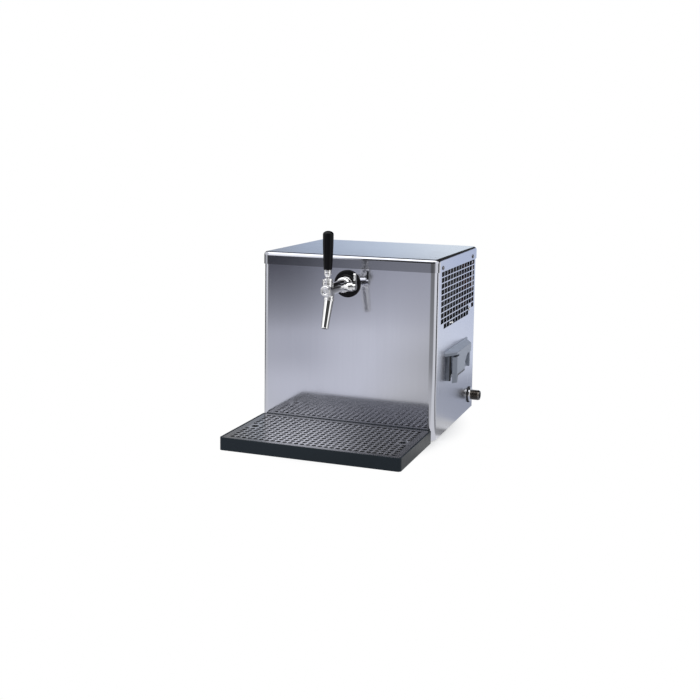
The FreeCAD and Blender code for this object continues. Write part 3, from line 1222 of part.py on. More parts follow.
# ---------------------------------------------------------------- the whole part
def all_pieces():
    """Every node's shape by name, on the working axes."""
    lid_places, panel_places, rear_places = screw_places()
    grommets, bolts = compressor_mounts()
    right_grip = grip()
    pieces = {
        "casing_wrap": casing_wrap(), "rear_panel": rear_panel(), "base_pan": base_pan(),
        "rubber_feet": rubber_feet(), "lid": lid_piece(), "lid_screws": screws(lid_places),
        "panel_screws": screws(panel_places), "rear_screws": screws(rear_places),
        "grip_right": right_grip, "grip_left": mirrored(right_grip),
        "tap_rosette": tap_rosette(), "tap_shank": tap_shank(), "shank_nut": shank_nut(),
        "coupling_nut": coupling_nut(), "tap_body": tap_body(), "tap_front_cap": tap_front_cap(),
        "tap_bonnet": tap_bonnet(), "tap_spout": tap_spout(), "tap_lever_stem": tap_lever_stem(),
        "handle_ferrule": handle_ferrule(), "tap_handle": tap_handle(), "tap_piston": tap_piston(),
        "piston_seal": piston_seal(), "compensator_lever": compensator_lever(),
        "compensator_cone": compensator_cone(), "drip_tray": drip_tray(), "drip_grid": drip_grid(),
        "cooling_block": cooling_block(), "insulation_lower": insulation(FLOOR, INS_SPLIT),
        "insulation_upper": insulation(INS_SPLIT, INS_TOP),
        "beer_inlet_line": pipe(beer_inlet_route(), BEER_LINE_RADIUS, BEER_LINE_BEND, BEER_LINE_BORE),
        "beer_outlet_line": pipe(beer_outlet_route(), BEER_LINE_RADIUS, BEER_LINE_BEND, BEER_LINE_BORE),
        "compressor": compressor(), "compressor_grommets": grommets, "compressor_bolts": bolts,
        "start_relay_box": start_relay_box(), "suction_line": suction_line(),
        "discharge_line": discharge_line(), "liquid_line": liquid_line(), "filter_drier": filter_drier(),
        "capillary_tube": pipe(capillary_route(), CAPILLARY_RADIUS, CAPILLARY_BEND),
        "condenser_coil": pipe(coil_route(), COND_TUBE_RADIUS, COND_BEND),
        "condenser_fins": condenser_fins(), "condenser_frame": condenser_frame(),
        "fan_shroud": fan_shroud(), "fan_rotor": fan_rotor(), "fan_motor": fan_motor(),
        "fan_bracket": fan_bracket(), "thermostat": thermostat(), "thermostat_knob": thermostat_knob(),
        "thermostat_probe": pipe(probe_route(), PROBE_RADIUS, CAPILLARY_BEND),
        "switch_housing": switch_housing(), "switch_rocker": switch_rocker(), "mains_inlet": mains_inlet(),
    }
    pieces.update(inlet_pieces())
    return pieces


def main():
    """Build every piece, move the origin to the bottom centre and write one file per piece."""
    os.makedirs("parts", exist_ok=True)
    pieces = all_pieces()
    extent = Part.makeCompound(list(pieces.values())).BoundBox
    shift = V(-extent.Center.x, -extent.Center.y, -extent.ZMin)
    print("moved by", [round(value, 4) for value in shift])
    for name, shape in pieces.items():
        shape.translated(shift).exportStep("parts/" + name + ".step")


main()
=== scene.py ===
"""Dresses the counter-top beer cooler: finishes for every piece, finer shapes for what shows, and a
plain studio round it."""

import math

import bmesh
import bpy
from bpy.props import FloatProperty, FloatVectorProperty, IntProperty, PointerProperty
from mathutils import Matrix, Vector


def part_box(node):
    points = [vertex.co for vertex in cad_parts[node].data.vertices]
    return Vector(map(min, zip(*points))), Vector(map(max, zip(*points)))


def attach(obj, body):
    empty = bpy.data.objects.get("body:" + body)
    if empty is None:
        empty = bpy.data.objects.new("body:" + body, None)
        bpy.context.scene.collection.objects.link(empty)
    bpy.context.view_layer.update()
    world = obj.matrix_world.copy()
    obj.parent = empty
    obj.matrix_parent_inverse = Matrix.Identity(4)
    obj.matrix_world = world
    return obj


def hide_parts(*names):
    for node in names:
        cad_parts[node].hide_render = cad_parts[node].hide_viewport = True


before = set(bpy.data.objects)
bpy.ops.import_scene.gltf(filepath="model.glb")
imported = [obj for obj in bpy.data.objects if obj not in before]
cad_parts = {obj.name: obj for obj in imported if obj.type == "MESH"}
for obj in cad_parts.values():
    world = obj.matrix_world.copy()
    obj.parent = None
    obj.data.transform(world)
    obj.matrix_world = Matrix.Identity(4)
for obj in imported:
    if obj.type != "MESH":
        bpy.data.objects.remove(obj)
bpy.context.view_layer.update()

bl_info = {
    "name": "Beer cooler",
    "version": (1, 0, 0),
    "blender": (4, 5, 0),
    "location": "3D View > Sidebar > Beer cooler",
    "description": "Finishes and fine shapes of a counter-top beer cooler",
    "category": "Object",
}

MM = 0.001
X, Y, Z = Vector((1, 0, 0)), Vector((0, 1, 0)), Vector((0, 0, 1))
WHITE = (1, 1, 1, 1)
WELD = 0.001 * MM                   # corners of a new shape that are closer than this are one
CAD_WELD = 0.005 * MM               # the same for the loose triangles of a CAD node
ONE_FLAT = math.radians(1)          # CAD faces that meet at less than this are one flat
CAST_CREASE = math.radians(30)      # edges of a cast or moulded shape sharper than this are rounded
TURNED_CREASE = math.radians(18)    # the same for a turned shape
SHADING_CREASE = math.radians(42)   # edges sharper than this stay crisp in the shading


# ---------------------------------------------------------------- shader maths
class Wire:
    """One output of a shader node, usable in sums of numbers."""

    def __init__(self, recipe, socket):
        self.recipe = recipe
        self.socket = socket

    def maths(self, operation, *values):
        """Adds a Math node."""
        return self.recipe.node("ShaderNodeMath", {"operation": operation}, *values)

    def __add__(self, other):
        return self.maths("ADD", self, other)

    def __sub__(self, other):
        return self.maths("SUBTRACT", self, other)

    def __mul__(self, other):
        return self.maths("MULTIPLY", self, other)

    def __truediv__(self, other):
        return self.maths("DIVIDE", self, other)

    def __pow__(self, other):
        return self.maths("POWER", self, other)

    def __rsub__(self, other):
        return self.maths("SUBTRACT", other, self)

    __radd__ = __add__
    __rmul__ = __mul__

    def size(self):
        """The value without its sign."""
        return self.maths("ABSOLUTE", self)

    def limited(self):
        """The value kept between 0 and 1."""
        return self.recipe.node("ShaderNodeClamp", {}, self)

    def between(self, low, high):
        """0 below low, 1 above high, and a smooth rise from one to the other."""
        return self.recipe.node("ShaderNodeMapRange", {"interpolation_type": "SMOOTHSTEP"}, self, low,
                                high)

    def beyond(self, edge, band):
        """0 before an edge and 1 beyond it, with a smooth rise over a band measured from the edge."""
        return self.between(edge + band[0], edge + band[1])


class Recipe:
    """A material's or the world's nodes, and the short ways to add to them."""

    def __init__(self, holder, main="Principled BSDF"):
        holder.use_nodes = True
        self.holder = holder
        self.tree = holder.node_tree
        self.main = self.tree.nodes[main]

    def node(self, kind, settings, *values, output=0, **named):
        """Adds a node, sets it up and returns one of its outputs."""
        made = self.tree.nodes.new(kind)
        for key, value in settings.items():
            if key == "stops":
                self.set_stops(made.color_ramp, value)
            else:
                setattr(made, key, value)
        for key, value in list(enumerate(values)) + list(named.items()):
            self.feed(made.inputs[key if isinstance(key, int) else key.replace("_", " ")], value)
        return Wire(self, made.outputs[output])

    def feed(self, socket, value):
        """Links a wire to an input, or sets the input's value."""
        if isinstance(value, Wire):
            self.tree.links.new(value.socket, socket)
        elif value is not None:
            socket.default_value = value

    @staticmethod
    def set_stops(ramp, stops):
        """Puts (place, colour) stops on a colour ramp."""
        while len(ramp.elements) > 1:
            ramp.elements.remove(ramp.elements[-1])
        ramp.elements[0].position, ramp.elements[0].color = stops[0]
        for place, colour in stops[1:]:
            ramp.elements.new(place).color = colour

    def place(self, scale=(1, 1, 1)):
        """Object coordinates, stretched."""
        spot = self.node("ShaderNodeTexCoord", {}, output="Object")
        return self.node("ShaderNodeMapping", {}, spot, Scale=scale)

    def along(self, axis):
        """One of the object coordinates as a number."""
        return self.node("ShaderNodeSeparateXYZ", {}, self.place(), output="XYZ".index(axis))

    def distance(self, scale=(1, 1, 1)):
        """How far a place is from the origin, with the axes stretched."""
        return self.node("ShaderNodeVectorMath", {"operation": "LENGTH"}, self.place(scale),
                         output="Value")

    def noise(self, scale, stretch=(1, 1, 1), detail=3.0, rough=0.5):
        """Cloudy value round 0.5."""
        return self.node("ShaderNodeTexNoise", {}, self.place(stretch), Scale=scale, Detail=detail,
                         Roughness=rough)

    def mix_colours(self, mask, first, second):
        """First colour where the mask is 0, second where it is 1."""
        return self.node("ShaderNodeMix", {"data_type": "RGBA"}, mask, None, None, None, None, None,
                         first, second, output=2)

    def bump(self, height, strength, distance):
        """Small relief for the Normal input."""
        return self.node("ShaderNodeBump", {}, Strength=strength, Distance=distance, Height=height)

    @staticmethod
    def varied(level, *patterns):
        """A level that patterns round 0.5 push up and down by their spread, kept between 0 and 1."""
        return sum(((pattern - 0.5) * spread for pattern, spread in patterns), level).limited()

    def finish(self, **inputs):
        """Feeds the main shader and returns the material."""
        for key, value in inputs.items():
            self.feed(self.main.inputs[key.replace("_", " ")], value)
        return self.holder

    def seen(self, *kinds):
        """1 on the named kinds of ray."""
        rays = [self.node("ShaderNodeLightPath", {}, output=kind) for kind in kinds]
        return sum(rays[1:], rays[0]).limited()

    def show(self, surface):
        """Sends a shader to the output and drops the main one if nothing uses it."""
        output = next(node for node in self.tree.nodes if node.type.startswith("OUTPUT"))
        self.feed(output.inputs["Surface"], surface)
        if not self.main.outputs[0].is_linked:
            self.tree.nodes.remove(self.main)
        return self.holder

    def cover(self, mask, other):
        """Shows another shader over the main one where the mask is 1."""
        own = Wire(self, self.main.outputs[0])
        return self.show(self.node("ShaderNodeMixShader", {}, mask, own, other))


def rgba(colour):
    """The colour with full alpha."""
    return (*tuple(colour)[:3], 1.0)


def grey(value):
    """A neutral colour."""
    return (value, value, value, 1.0)


def shade(colour, factor):
    """The colour made darker or paler by a factor."""
    return (*(min(1.0, part * factor) for part in tuple(colour)[:3]), 1.0)


# ---------------------------------------------------------------- finishes
# Scales of patterns are in cells per metre.
SIDE_PANEL = (-1.2 * MM, -0.2 * MM)     # the haze of a side panel sets in here, out from its face


def stretched(across, lengthwise, axis):
    """Scale of a pattern that runs along one axis."""
    return [lengthwise if letter == axis else across for letter in "XYZ"]


def brushed_metal(name, colour, along, roughness=0.3, contrast=0.06, streak=0.05, side_haze=0.0,
                  metallic=1.0):
    """Sheet metal with fine streaks along one axis, faint clouding and small smears; the side panels
    can be hazier than the front."""
    recipe = Recipe(bpy.data.materials.new(name))
    brush = recipe.noise(1.0, stretched(900.0, 9.0, along), detail=4.0, rough=0.7)
    bands = recipe.noise(1.0, stretched(140.0, 1.5, along), detail=3.0, rough=0.6)
    smears = recipe.noise(26.0, (1, 1, 0.4), detail=5.0)
    tone = (brush * 0.6 + bands * 0.4).limited()
    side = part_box("casing_wrap")[1].x
    haze = recipe.along("X").size().beyond(side, SIDE_PANEL) * side_haze
    return recipe.finish(
        Base_Color=recipe.mix_colours(tone, shade(colour, 1 + contrast), shade(colour, 1 - contrast)),
        Metallic=metallic,
        Roughness=recipe.varied(roughness + haze, (brush, 0.06), (smears, 0.06)),
        Normal=recipe.bump(brush, streak, 0.4 * MM))


def toned(material, amount, mask):
    """Multiplies a finish's colour where the mask is 1."""
    recipe = Recipe(material)
    colour = recipe.main.inputs["Base Color"]
    before = Wire(recipe, colour.links[0].from_socket)
    after = recipe.node("ShaderNodeVectorMath", {"operation": "SCALE"}, before, Scale=amount)
    recipe.feed(colour, recipe.mix_colours(mask(recipe), before, after))
    return material


def polished_metal(name, colour, roughness=0.05):
    """Chrome with faint smudges."""
    recipe = Recipe(bpy.data.materials.new(name))
    smudge = recipe.noise(60.0, detail=4.0)
    return recipe.finish(
        Base_Color=recipe.mix_colours(smudge, rgba(colour), shade(colour, 0.92)), Metallic=1.0,
        Roughness=recipe.varied(roughness, (smudge, 0.06)),
        Normal=recipe.bump(recipe.noise(700.0, detail=2.0), 0.02, 0.1 * MM))


def moulded_plastic(name, colour, roughness=0.45, grain=0.15, gloss=0.5):
    """Moulded plastic with a fine grain, faint clouds and scuffs."""
    recipe = Recipe(bpy.data.materials.new(name))
    pits = recipe.noise(1400.0, detail=2.0)
    scuffs = recipe.noise(70.0, (1, 1, 2.5), detail=6.0, rough=0.65)
    clouds = recipe.noise(14.0, detail=2.0)
    tone = (clouds * 0.6 + scuffs * 0.4).limited()
    return recipe.finish(
        Base_Color=recipe.mix_colours(tone, shade(colour, 0.86), shade(colour, 1.14)),
        Specular_IOR_Level=gloss,
        Roughness=recipe.varied(roughness, (scuffs, 0.16), (pits, 0.06)),
        Normal=recipe.bump(pits, grain, 0.2 * MM))


def drawn_copper(name, colour):
    """Copper tube with darker tarnish patches."""
    recipe = Recipe(bpy.data.materials.new(name))
    patches = recipe.noise(45.0, detail=5.0, rough=0.6)
    return recipe.finish(
        Base_Color=recipe.mix_colours(patches, rgba(colour), shade(colour, 0.55)), Metallic=1.0,
        Roughness=recipe.varied(0.345, (patches, 0.25)))


def rigid_foam(name, colour):
    """Cut foam with open cells."""
    recipe = Recipe(bpy.data.materials.new(name))
    cells = recipe.node("ShaderNodeTexVoronoi", {}, recipe.place(), Scale=420.0)
    clouds = recipe.noise(20.0)
    return recipe.finish(
        Base_Color=recipe.mix_colours(clouds, shade(colour, 0.9), shade(colour, 1.05)), Roughness=0.9,
        Normal=recipe.bump(cells, 0.4, 0.5 * MM))


# ---------------------------------------------------------------- settings
class CoolerColours(bpy.types.PropertyGroup):
    """Colours of the cooler's finishes."""

    steel: FloatVectorProperty(name="Casing steel", description="Brushed steel of the casing",
                               subtype="COLOR", default=(0.55, 0.56, 0.62))
    lid: FloatVectorProperty(name="Lid steel", description="Steel of the lid", subtype="COLOR",
                             default=(0.50, 0.51, 0.565))
    grid: FloatVectorProperty(name="Grid steel", description="Perforated grid", subtype="COLOR",
                              default=(0.36, 0.36, 0.37))
    chrome: FloatVectorProperty(name="Chrome", description="Tap and fittings", subtype="COLOR",
                                default=(0.86, 0.86, 0.87))
    nickel: FloatVectorProperty(name="Nickel", description="Threaded beer inlet", subtype="COLOR",
                                default=(0.17, 0.155, 0.14))
    tray: FloatVectorProperty(name="Tray plastic", description="Moulded drip tray", subtype="COLOR",
                              default=(0.007, 0.012, 0.017))
    grip: FloatVectorProperty(name="Grip plastic", description="Moulded side grips", subtype="COLOR",
                              default=(0.21, 0.235, 0.285))
    black: FloatVectorProperty(name="Black plastic", description="Handle, rosette and controls",
                               subtype="COLOR", default=(0.004, 0.004, 0.005))
    rubber: FloatVectorProperty(name="Rubber", description="Feet, gaskets and the piston's seal",
                                subtype="COLOR", default=(0.012, 0.012, 0.012))
    zinc: FloatVectorProperty(name="Zinc", description="Base pan, brackets and the fan's shroud",
                              subtype="COLOR", default=(0.22, 0.22, 0.23))
    screw: FloatVectorProperty(name="Screws", description="Screws of the side and rear panels",
                               subtype="COLOR", default=(0.62, 0.62, 0.64))
    lid_screw: FloatVectorProperty(name="Lid screws", description="Screws of the lid", subtype="COLOR",
                                   default=(0.20, 0.20, 0.22))
    enamel: FloatVectorProperty(name="Enamel", description="Compressor", subtype="COLOR",
                                default=(0.012, 0.012, 0.012))
    motor: FloatVectorProperty(name="Motor paint", description="Fan motor", subtype="COLOR",
                               default=(0.10, 0.10, 0.11))
    aluminium: FloatVectorProperty(name="Aluminium", description="Cooling block and condenser fins",
                                   subtype="COLOR", default=(0.30, 0.31, 0.32))
    copper: FloatVectorProperty(name="Copper", description="Refrigerant pipes", subtype="COLOR",
                                default=(0.72, 0.36, 0.22))
    foam: FloatVectorProperty(name="Foam", description="Insulation", subtype="COLOR",
                              default=(0.30, 0.28, 0.22))
    hose: FloatVectorProperty(name="Beer hose", description="Beer lines", subtype="COLOR",
                              default=(0.30, 0.31, 0.32))


class CoolerSizes(bpy.types.PropertyGroup):
    """Sizes of the fine shapes."""

    edge: FloatProperty(name="Moulded edge", description="Rounding of moulded edges", unit="LENGTH",
                        default=0.8 * MM)
    turned_edge: FloatProperty(name="Turned edge", description="Rounding of turned edges",
                               unit="LENGTH", default=0.35 * MM)
    thread_pitch: FloatProperty(name="Thread pitch", description="Pitch of the beer inlet's thread",
                                unit="LENGTH", default=1.814 * MM)
    facets: IntProperty(name="Facets", description="Facets round a turned piece", default=72, min=24,
                        max=128)


class StudioSettings(bpy.types.PropertyGroup):
    """Camera and light."""

    eye: FloatVectorProperty(name="Camera place", description="Where the camera stands",
                             subtype="TRANSLATION", unit="LENGTH", default=(0.6721, -1.9130, 0.5428))
    yaw: FloatProperty(name="Turn", description="Camera turned to the left of straight back",
                       subtype="ANGLE", default=math.radians(19.97))
    pitch: FloatProperty(name="Tilt", description="Camera tilted down", subtype="ANGLE",
                         default=math.radians(6.0))
    roll: FloatProperty(name="Roll", description="Camera rolled about its line of sight",
                        subtype="ANGLE", default=math.radians(0.83))
    focal_length: FloatProperty(name="Focal length", description="Lens for a 36 mm wide sensor",
                                unit="CAMERA", default=54.35)
    drop: FloatProperty(name="Lens drop", description="Downward shift of the frame, in frame widths",
                        default=0.132, min=0.0, max=0.2)
    tent: FloatProperty(name="Tent radius", description="Radius of the reflecting tent", unit="LENGTH",
                        default=1.2)


# ---------------------------------------------------------------- helpers on the frame
def coat_nodes(material, *names):
    """Gives CAD nodes a finish."""
    for name in names:
        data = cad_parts[name].data
        data.materials.clear()
        data.materials.append(material)


def middle(node):
    """Centre of a CAD node's box."""
    low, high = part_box(node)
    return (low + high) / 2


def soften(sheet, width, crease, hollows=True):
    """Rounds every edge that is sharper than the crease angle, or only the outer ones."""
    bmesh.ops.recalc_face_normals(sheet, faces=sheet.faces)
    sheet.normal_update()
    sharp = [edge for edge in sheet.edges
             if len(edge.link_faces) == 2 and edge.calc_face_angle() > crease
             and (hollows or edge.is_convex)]
    bmesh.ops.bevel(sheet, geom=sharp, offset=width, offset_type="OFFSET", segments=2, profile=0.5,
                    affect="EDGES", material=-1, clamp_overlap=True)


def turned(profile, foot, axis, facets, edge):
    """Turns an outline of (distance, radius) millimetres about an axis and rounds its edges."""
    sheet = bmesh.new()
    corners = [sheet.verts.new((radius * MM, 0, distance * MM)) for distance, radius in profile]
    lines = [sheet.edges.new(pair) for pair in zip(corners, corners[1:])]
    bmesh.ops.spin(sheet, geom=corners + lines, cent=(0, 0, 0), axis=Z, angle=math.tau, steps=facets,
                   use_merge=True)
    bmesh.ops.remove_doubles(sheet, verts=sheet.verts, dist=WELD)
    soften(sheet, edge, TURNED_CREASE)
    turn = Z.rotation_difference(Vector(axis)).to_matrix().to_4x4()
    bmesh.ops.transform(sheet, matrix=Matrix.Translation(foot) @ turn, verts=sheet.verts)
    return sheet


def softened_copy(node, width):
    """A CAD node's own shape with its outer edges rounded."""
    sheet = bmesh.new()
    sheet.from_mesh(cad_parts[node].data)
    bmesh.ops.remove_doubles(sheet, verts=sheet.verts, dist=CAD_WELD)
    bmesh.ops.dissolve_limit(sheet, angle_limit=ONE_FLAT, verts=sheet.verts, edges=sheet.edges)
    soften(sheet, width, CAST_CREASE, hollows=False)
    return sheet


def joined(sheets):
    """Several shapes in one."""
    whole = bmesh.new()
    for sheet in sheets:
        mesh = bpy.data.meshes.new("part")
        sheet.to_mesh(mesh)
        whole.from_mesh(mesh)
        sheet.free()
        bpy.data.meshes.remove(mesh)
    return whole


def add_piece(sheet, name, material, slot, body, *nodes):
    """Makes an object of a shape, in place of CAD nodes and riding on their body."""
    bmesh.ops.remove_doubles(sheet, verts=sheet.verts, dist=WELD)
    bmesh.ops.recalc_face_normals(sheet, faces=sheet.faces)
    for face in sheet.faces:
        face.smooth = True
    mesh = bpy.data.meshes.new(name)
    sheet.to_mesh(mesh)
    sheet.free()
    mesh.set_sharp_from_angle(angle=SHADING_CREASE)
    mesh.materials.append(material)
    piece = bpy.data.objects.new(name, mesh)
    bpy.context.collection.objects.link(piece)
    flats = piece.modifiers.new("true_flats", "WEIGHTED_NORMAL")
    flats.keep_sharp = True
    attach(piece, body)
    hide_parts(*nodes)


# ---------------------------------------------------------------- operators
class COOLER_OT_stage(bpy.types.Operator):
    """Floor, reflecting tent, lights, world and camera"""

    bl_idname = "cooler.stage"
    bl_label = "Studio"

    AIR, AIR_STRENGTH = (0.95, 0.97, 1.0, 1.0), 0.8
    FLOOR_REACH, FLOOR_GREY = 12.0, 0.92
    SHADOW_FLOOR = (0.19, 0.26)         # half width and half length of the floor that keeps the shadow
    SHADOW_FADE = (0.70, 1.15)          # where it turns plain white, as shares of those
    SENSOR_WIDTH = 36.0                 # millimetres

    TENT_LIFT = 1.5 * MM                # the tent's ground above the floor
    # Tones round the tent: degrees from the front, positive on the beer inlet's side, and then a
    # brightness or a colour
    HORIZON = (
        (-180, (0.84, 0.92, 1.01)), (-174, (0.815, 0.895, 0.985)), (-163, (0.605, 0.69, 0.83)),
        (-152, (0.45, 0.52, 0.655)), (-140, 0.35), (-126, 0.06), (-88, 0.08), (-80, 1.0), (-54, 1.0),
        (-44, 0.10), (-33, (0.10, 0.10, 0.12)), (-26, (0.15, 0.155, 0.18)), (-20, (0.36, 0.37, 0.42)),
        (-13, (0.50, 0.51, 0.57)), (-5, (0.55, 0.56, 0.62)), (6, 0.27), (50, 0.27), (60, 1.1),
        (91, 1.1), (97, 0.04), (113, 0.04), (119, 1.15), (136, 1.1), (152, (0.92, 0.97, 1.08)),
        (158, (0.66, 0.74, 0.94)), (165, (0.62, 0.70, 0.90)), (180, (0.84, 0.92, 1.01)))
    OUTER_GROUND = (
        (-180, 0.12), (-140, 0.15), (-88, 0.2), (-80, 0.8), (-70, 0.8), (-26, (0.70, 0.71, 0.77)),
        (-20, (0.88, 0.89, 0.95)), (-14, (0.92, 0.93, 0.99)), (-4, 0.7), (8, 0.38), (50, 0.38),
        (60, 1.0), (90, 1.0), (96, 0.06), (112, 0.06), (118, 1.15), (136, 1.1),
        (150, (0.98, 1.03, 1.12)), (157, (0.84, 0.90, 1.05)), (164, (0.80, 0.86, 1.0)), (172, 0.5),
        (180, 0.12))
    INNER_GROUND = (
        (-180, 0.3), (-120, 0.5), (-70, 0.85), (-35, (0.90, 0.91, 0.97)), (-14, (0.92, 0.93, 0.99)),
        (0, 0.8), (8, 0.70), (45, 0.70), (56, 0.95), (82, 0.95), (87, 0.3), (97, 0.3), (103, 0.9),
        (114, 0.75), (122, (0.42, 0.45, 0.53)), (150, (0.36, 0.39, 0.47)), (180, 0.3))
    SHOULDER = (
        (-180, 0.03), (-125, 0.03), (-115, 1.0), (-50, 1.0), (-40, 1.7), (-24, 1.7), (-16, 0.06),
        (52, 0.06), (60, 1.2), (105, 1.2), (115, 0.05), (180, 0.03))
    SOFT_BOX, DARK_CLOTH = 2.5, 0.03    # brightness overhead in front and behind
    # Where one tone fades into the next
    GROUND_FADE = (0.45, 0.85)          # metres from the middle: inner to outer ground
    HORIZON_HEIGHT, HORIZON_POWER = 0.2, 0.51   # metres up to the full horizon, and how the rise bends
    SOFT_BOX_EDGE = (-0.24, -0.10)      # metres forward of the middle, so both lie behind it
    FRONT_FADE = (0.25, 0.32)           # heights as shares of the tent's radius: horizon to shoulder
    REAR_FADE = (0.405, 0.435)
    CROWN_FADE = (0.78, 0.85)           # shoulder to crown

    def execute(self, context):
        self.floor()
        self.tent(context.scene.cooler_studio.tent)
        self.area("key_light", place=(-1.6, -1.8, 2.6), target=(0, -0.1, 0.1), size=2.4, power=45)
        self.area("fill_light", place=(2.4, -1.0, 1.6), target=(0.1, 0, 0.2), size=1.8, power=18)
        self.world(context.scene)
        self.camera(context.scene)
        context.scene.view_settings.view_transform = "Standard"
        return {"FINISHED"}

    def floor(self):
        """Pale floor with a soft shadow near the cooler, and plain white further off."""
        sheet = bmesh.new()
        bmesh.ops.create_grid(sheet, x_segments=1, y_segments=1, size=self.FLOOR_REACH)
        recipe = Recipe(bpy.data.materials.new("studio_floor"))
        recipe.finish(Base_Color=grey(self.FLOOR_GREY), Roughness=0.9, Specular_IOR_Level=0.0)
        half_width, half_length = self.SHADOW_FLOOR
        away = recipe.distance((1 / half_width, 1 / half_length, 1))
        plain = away.beyond(0, self.SHADOW_FADE) * self.seen_directly(recipe)
        recipe.cover(plain, recipe.node("ShaderNodeEmission", {}, WHITE, 1.0))
        self.prop(sheet, "floor", recipe.holder)

    @staticmethod
    def seen_directly(recipe):
        """1 on the rays that show the white background."""
        return recipe.seen("Is Camera Ray", "Is Glossy Ray", "Is Transmission Ray")

    def prop(self, sheet, name, material):
        """A shape that belongs to the studio."""
        mesh = bpy.data.meshes.new(name)
        sheet.to_mesh(mesh)
        sheet.free()
        mesh.materials.append(material)
        thing = bpy.data.objects.new(name, mesh)
        bpy.context.collection.objects.link(thing)
        return thing

    def tent(self, radius):
        """Half dome that only reflections see: cards at the horizon, a soft box overhead in front and
        a dark cloth overhead behind."""
        sheet = bmesh.new()
        bmesh.ops.create_uvsphere(sheet, u_segments=96, v_segments=64, radius=radius)
        bmesh.ops.bisect_plane(sheet, geom=sheet.verts[:] + sheet.edges[:] + sheet.faces[:],
                               plane_co=Z * self.TENT_LIFT, plane_no=Z, clear_inner=True)
        rim = [edge for edge in sheet.edges if edge.is_boundary]
        bmesh.ops.holes_fill(sheet, edges=rim)
        for face in sheet.faces:
            face.smooth = True
        tent = self.prop(sheet, "tent", self.tent_cloth(radius))
        tent.visible_camera = tent.visible_diffuse = tent.visible_shadow = False
        tent.visible_transmission = tent.visible_volume_scatter = False

    def tent_cloth(self, radius):
        """Glowing cloth whose tones make the light and dark bands on the steel and the chrome."""
        recipe = Recipe(bpy.data.materials.new("tent_cloth"))
        forward = 0 - recipe.along("Y")
        turn = forward.maths("ARCTAN2", recipe.along("X"), forward) / math.tau + 0.5
        horizon, outer, inner, shoulder = (
            self.round_about(recipe, turn, tones)
            for tones in (self.HORIZON, self.OUTER_GROUND, self.INNER_GROUND, self.SHOULDER))
        height = recipe.along("Z")
        level = height / radius
        away = recipe.distance((1, 1, 0))
        ground = recipe.mix_colours(away.beyond(0, self.GROUND_FADE), inner, outer)
        rise = (height / self.HORIZON_HEIGHT).limited() ** self.HORIZON_POWER
        low = recipe.mix_colours(rise, ground, horizon)
        front = forward.beyond(0, self.SOFT_BOX_EDGE)
        crown = recipe.mix_colours(front, grey(self.DARK_CLOTH), grey(self.SOFT_BOX))
        overhead = recipe.mix_colours(level.beyond(0, self.CROWN_FADE), shoulder, crown)
        share = level.beyond(0, self.FRONT_FADE) * front + level.beyond(0, self.REAR_FADE) * (1 - front)
        colour = recipe.mix_colours(share.limited(), low, overhead)
        return recipe.show(recipe.node("ShaderNodeEmission", {}, colour, 1.0))

    @staticmethod
    def round_about(recipe, turn, tones):
        """Tones spread round the tent, where turn runs from 0 to 1."""
        stops = [(degrees / 360 + 0.5, rgba(tone) if isinstance(tone, tuple) else grey(tone))
                 for degrees, tone in tones]
        return recipe.node("ShaderNodeValToRGB", {"stops": stops}, turn)

    def area(self, name, place, target, size, power):
        """Round lamp that reflections don't show."""
        lamp = bpy.data.lights.new(name, "AREA")
        lamp.shape = "DISK"
        lamp.size = size
        lamp.energy = power
        holder = bpy.data.objects.new(name, lamp)
        holder.location = place
        holder.rotation_euler = (Vector(target) - Vector(place)).to_track_quat("-Z", "Y").to_euler()
        holder.visible_glossy = False
        bpy.context.collection.objects.link(holder)

    def world(self, scene):
        """Even light all round, and a white background."""
        scene.world = bpy.data.worlds.new("studio_air")
        recipe = Recipe(scene.world, "Background")
        recipe.finish(Color=self.AIR, Strength=self.AIR_STRENGTH)
        recipe.cover(self.seen_directly(recipe), recipe.node("ShaderNodeBackground", {}, WHITE, 1.0))

    def camera(self, scene):
        """Camera at its place, turned, tilted and rolled."""
        studio = scene.cooler_studio
        ahead = Vector((-math.sin(studio.yaw), math.cos(studio.yaw), 0))
        right = Vector((math.cos(studio.yaw), math.sin(studio.yaw), 0))
        forward = ahead * math.cos(studio.pitch) - Z * math.sin(studio.pitch)
        up = Z * math.cos(studio.pitch) + ahead * math.sin(studio.pitch)
        tilted_right = right * math.cos(studio.roll) + up * math.sin(studio.roll)
        tilted_up = up * math.cos(studio.roll) - right * math.sin(studio.roll)
        turn = Matrix((tilted_right, tilted_up, -forward)).transposed()
        lens = bpy.data.cameras.new("camera")
        lens.lens = studio.focal_length
        lens.sensor_width = self.SENSOR_WIDTH
        lens.shift_y = -studio.drop
        camera = bpy.data.objects.new("camera", lens)
        camera.matrix_world = Matrix.Translation(studio.eye) @ turn.to_4x4()
        bpy.context.collection.objects.link(camera)
        scene.camera = camera


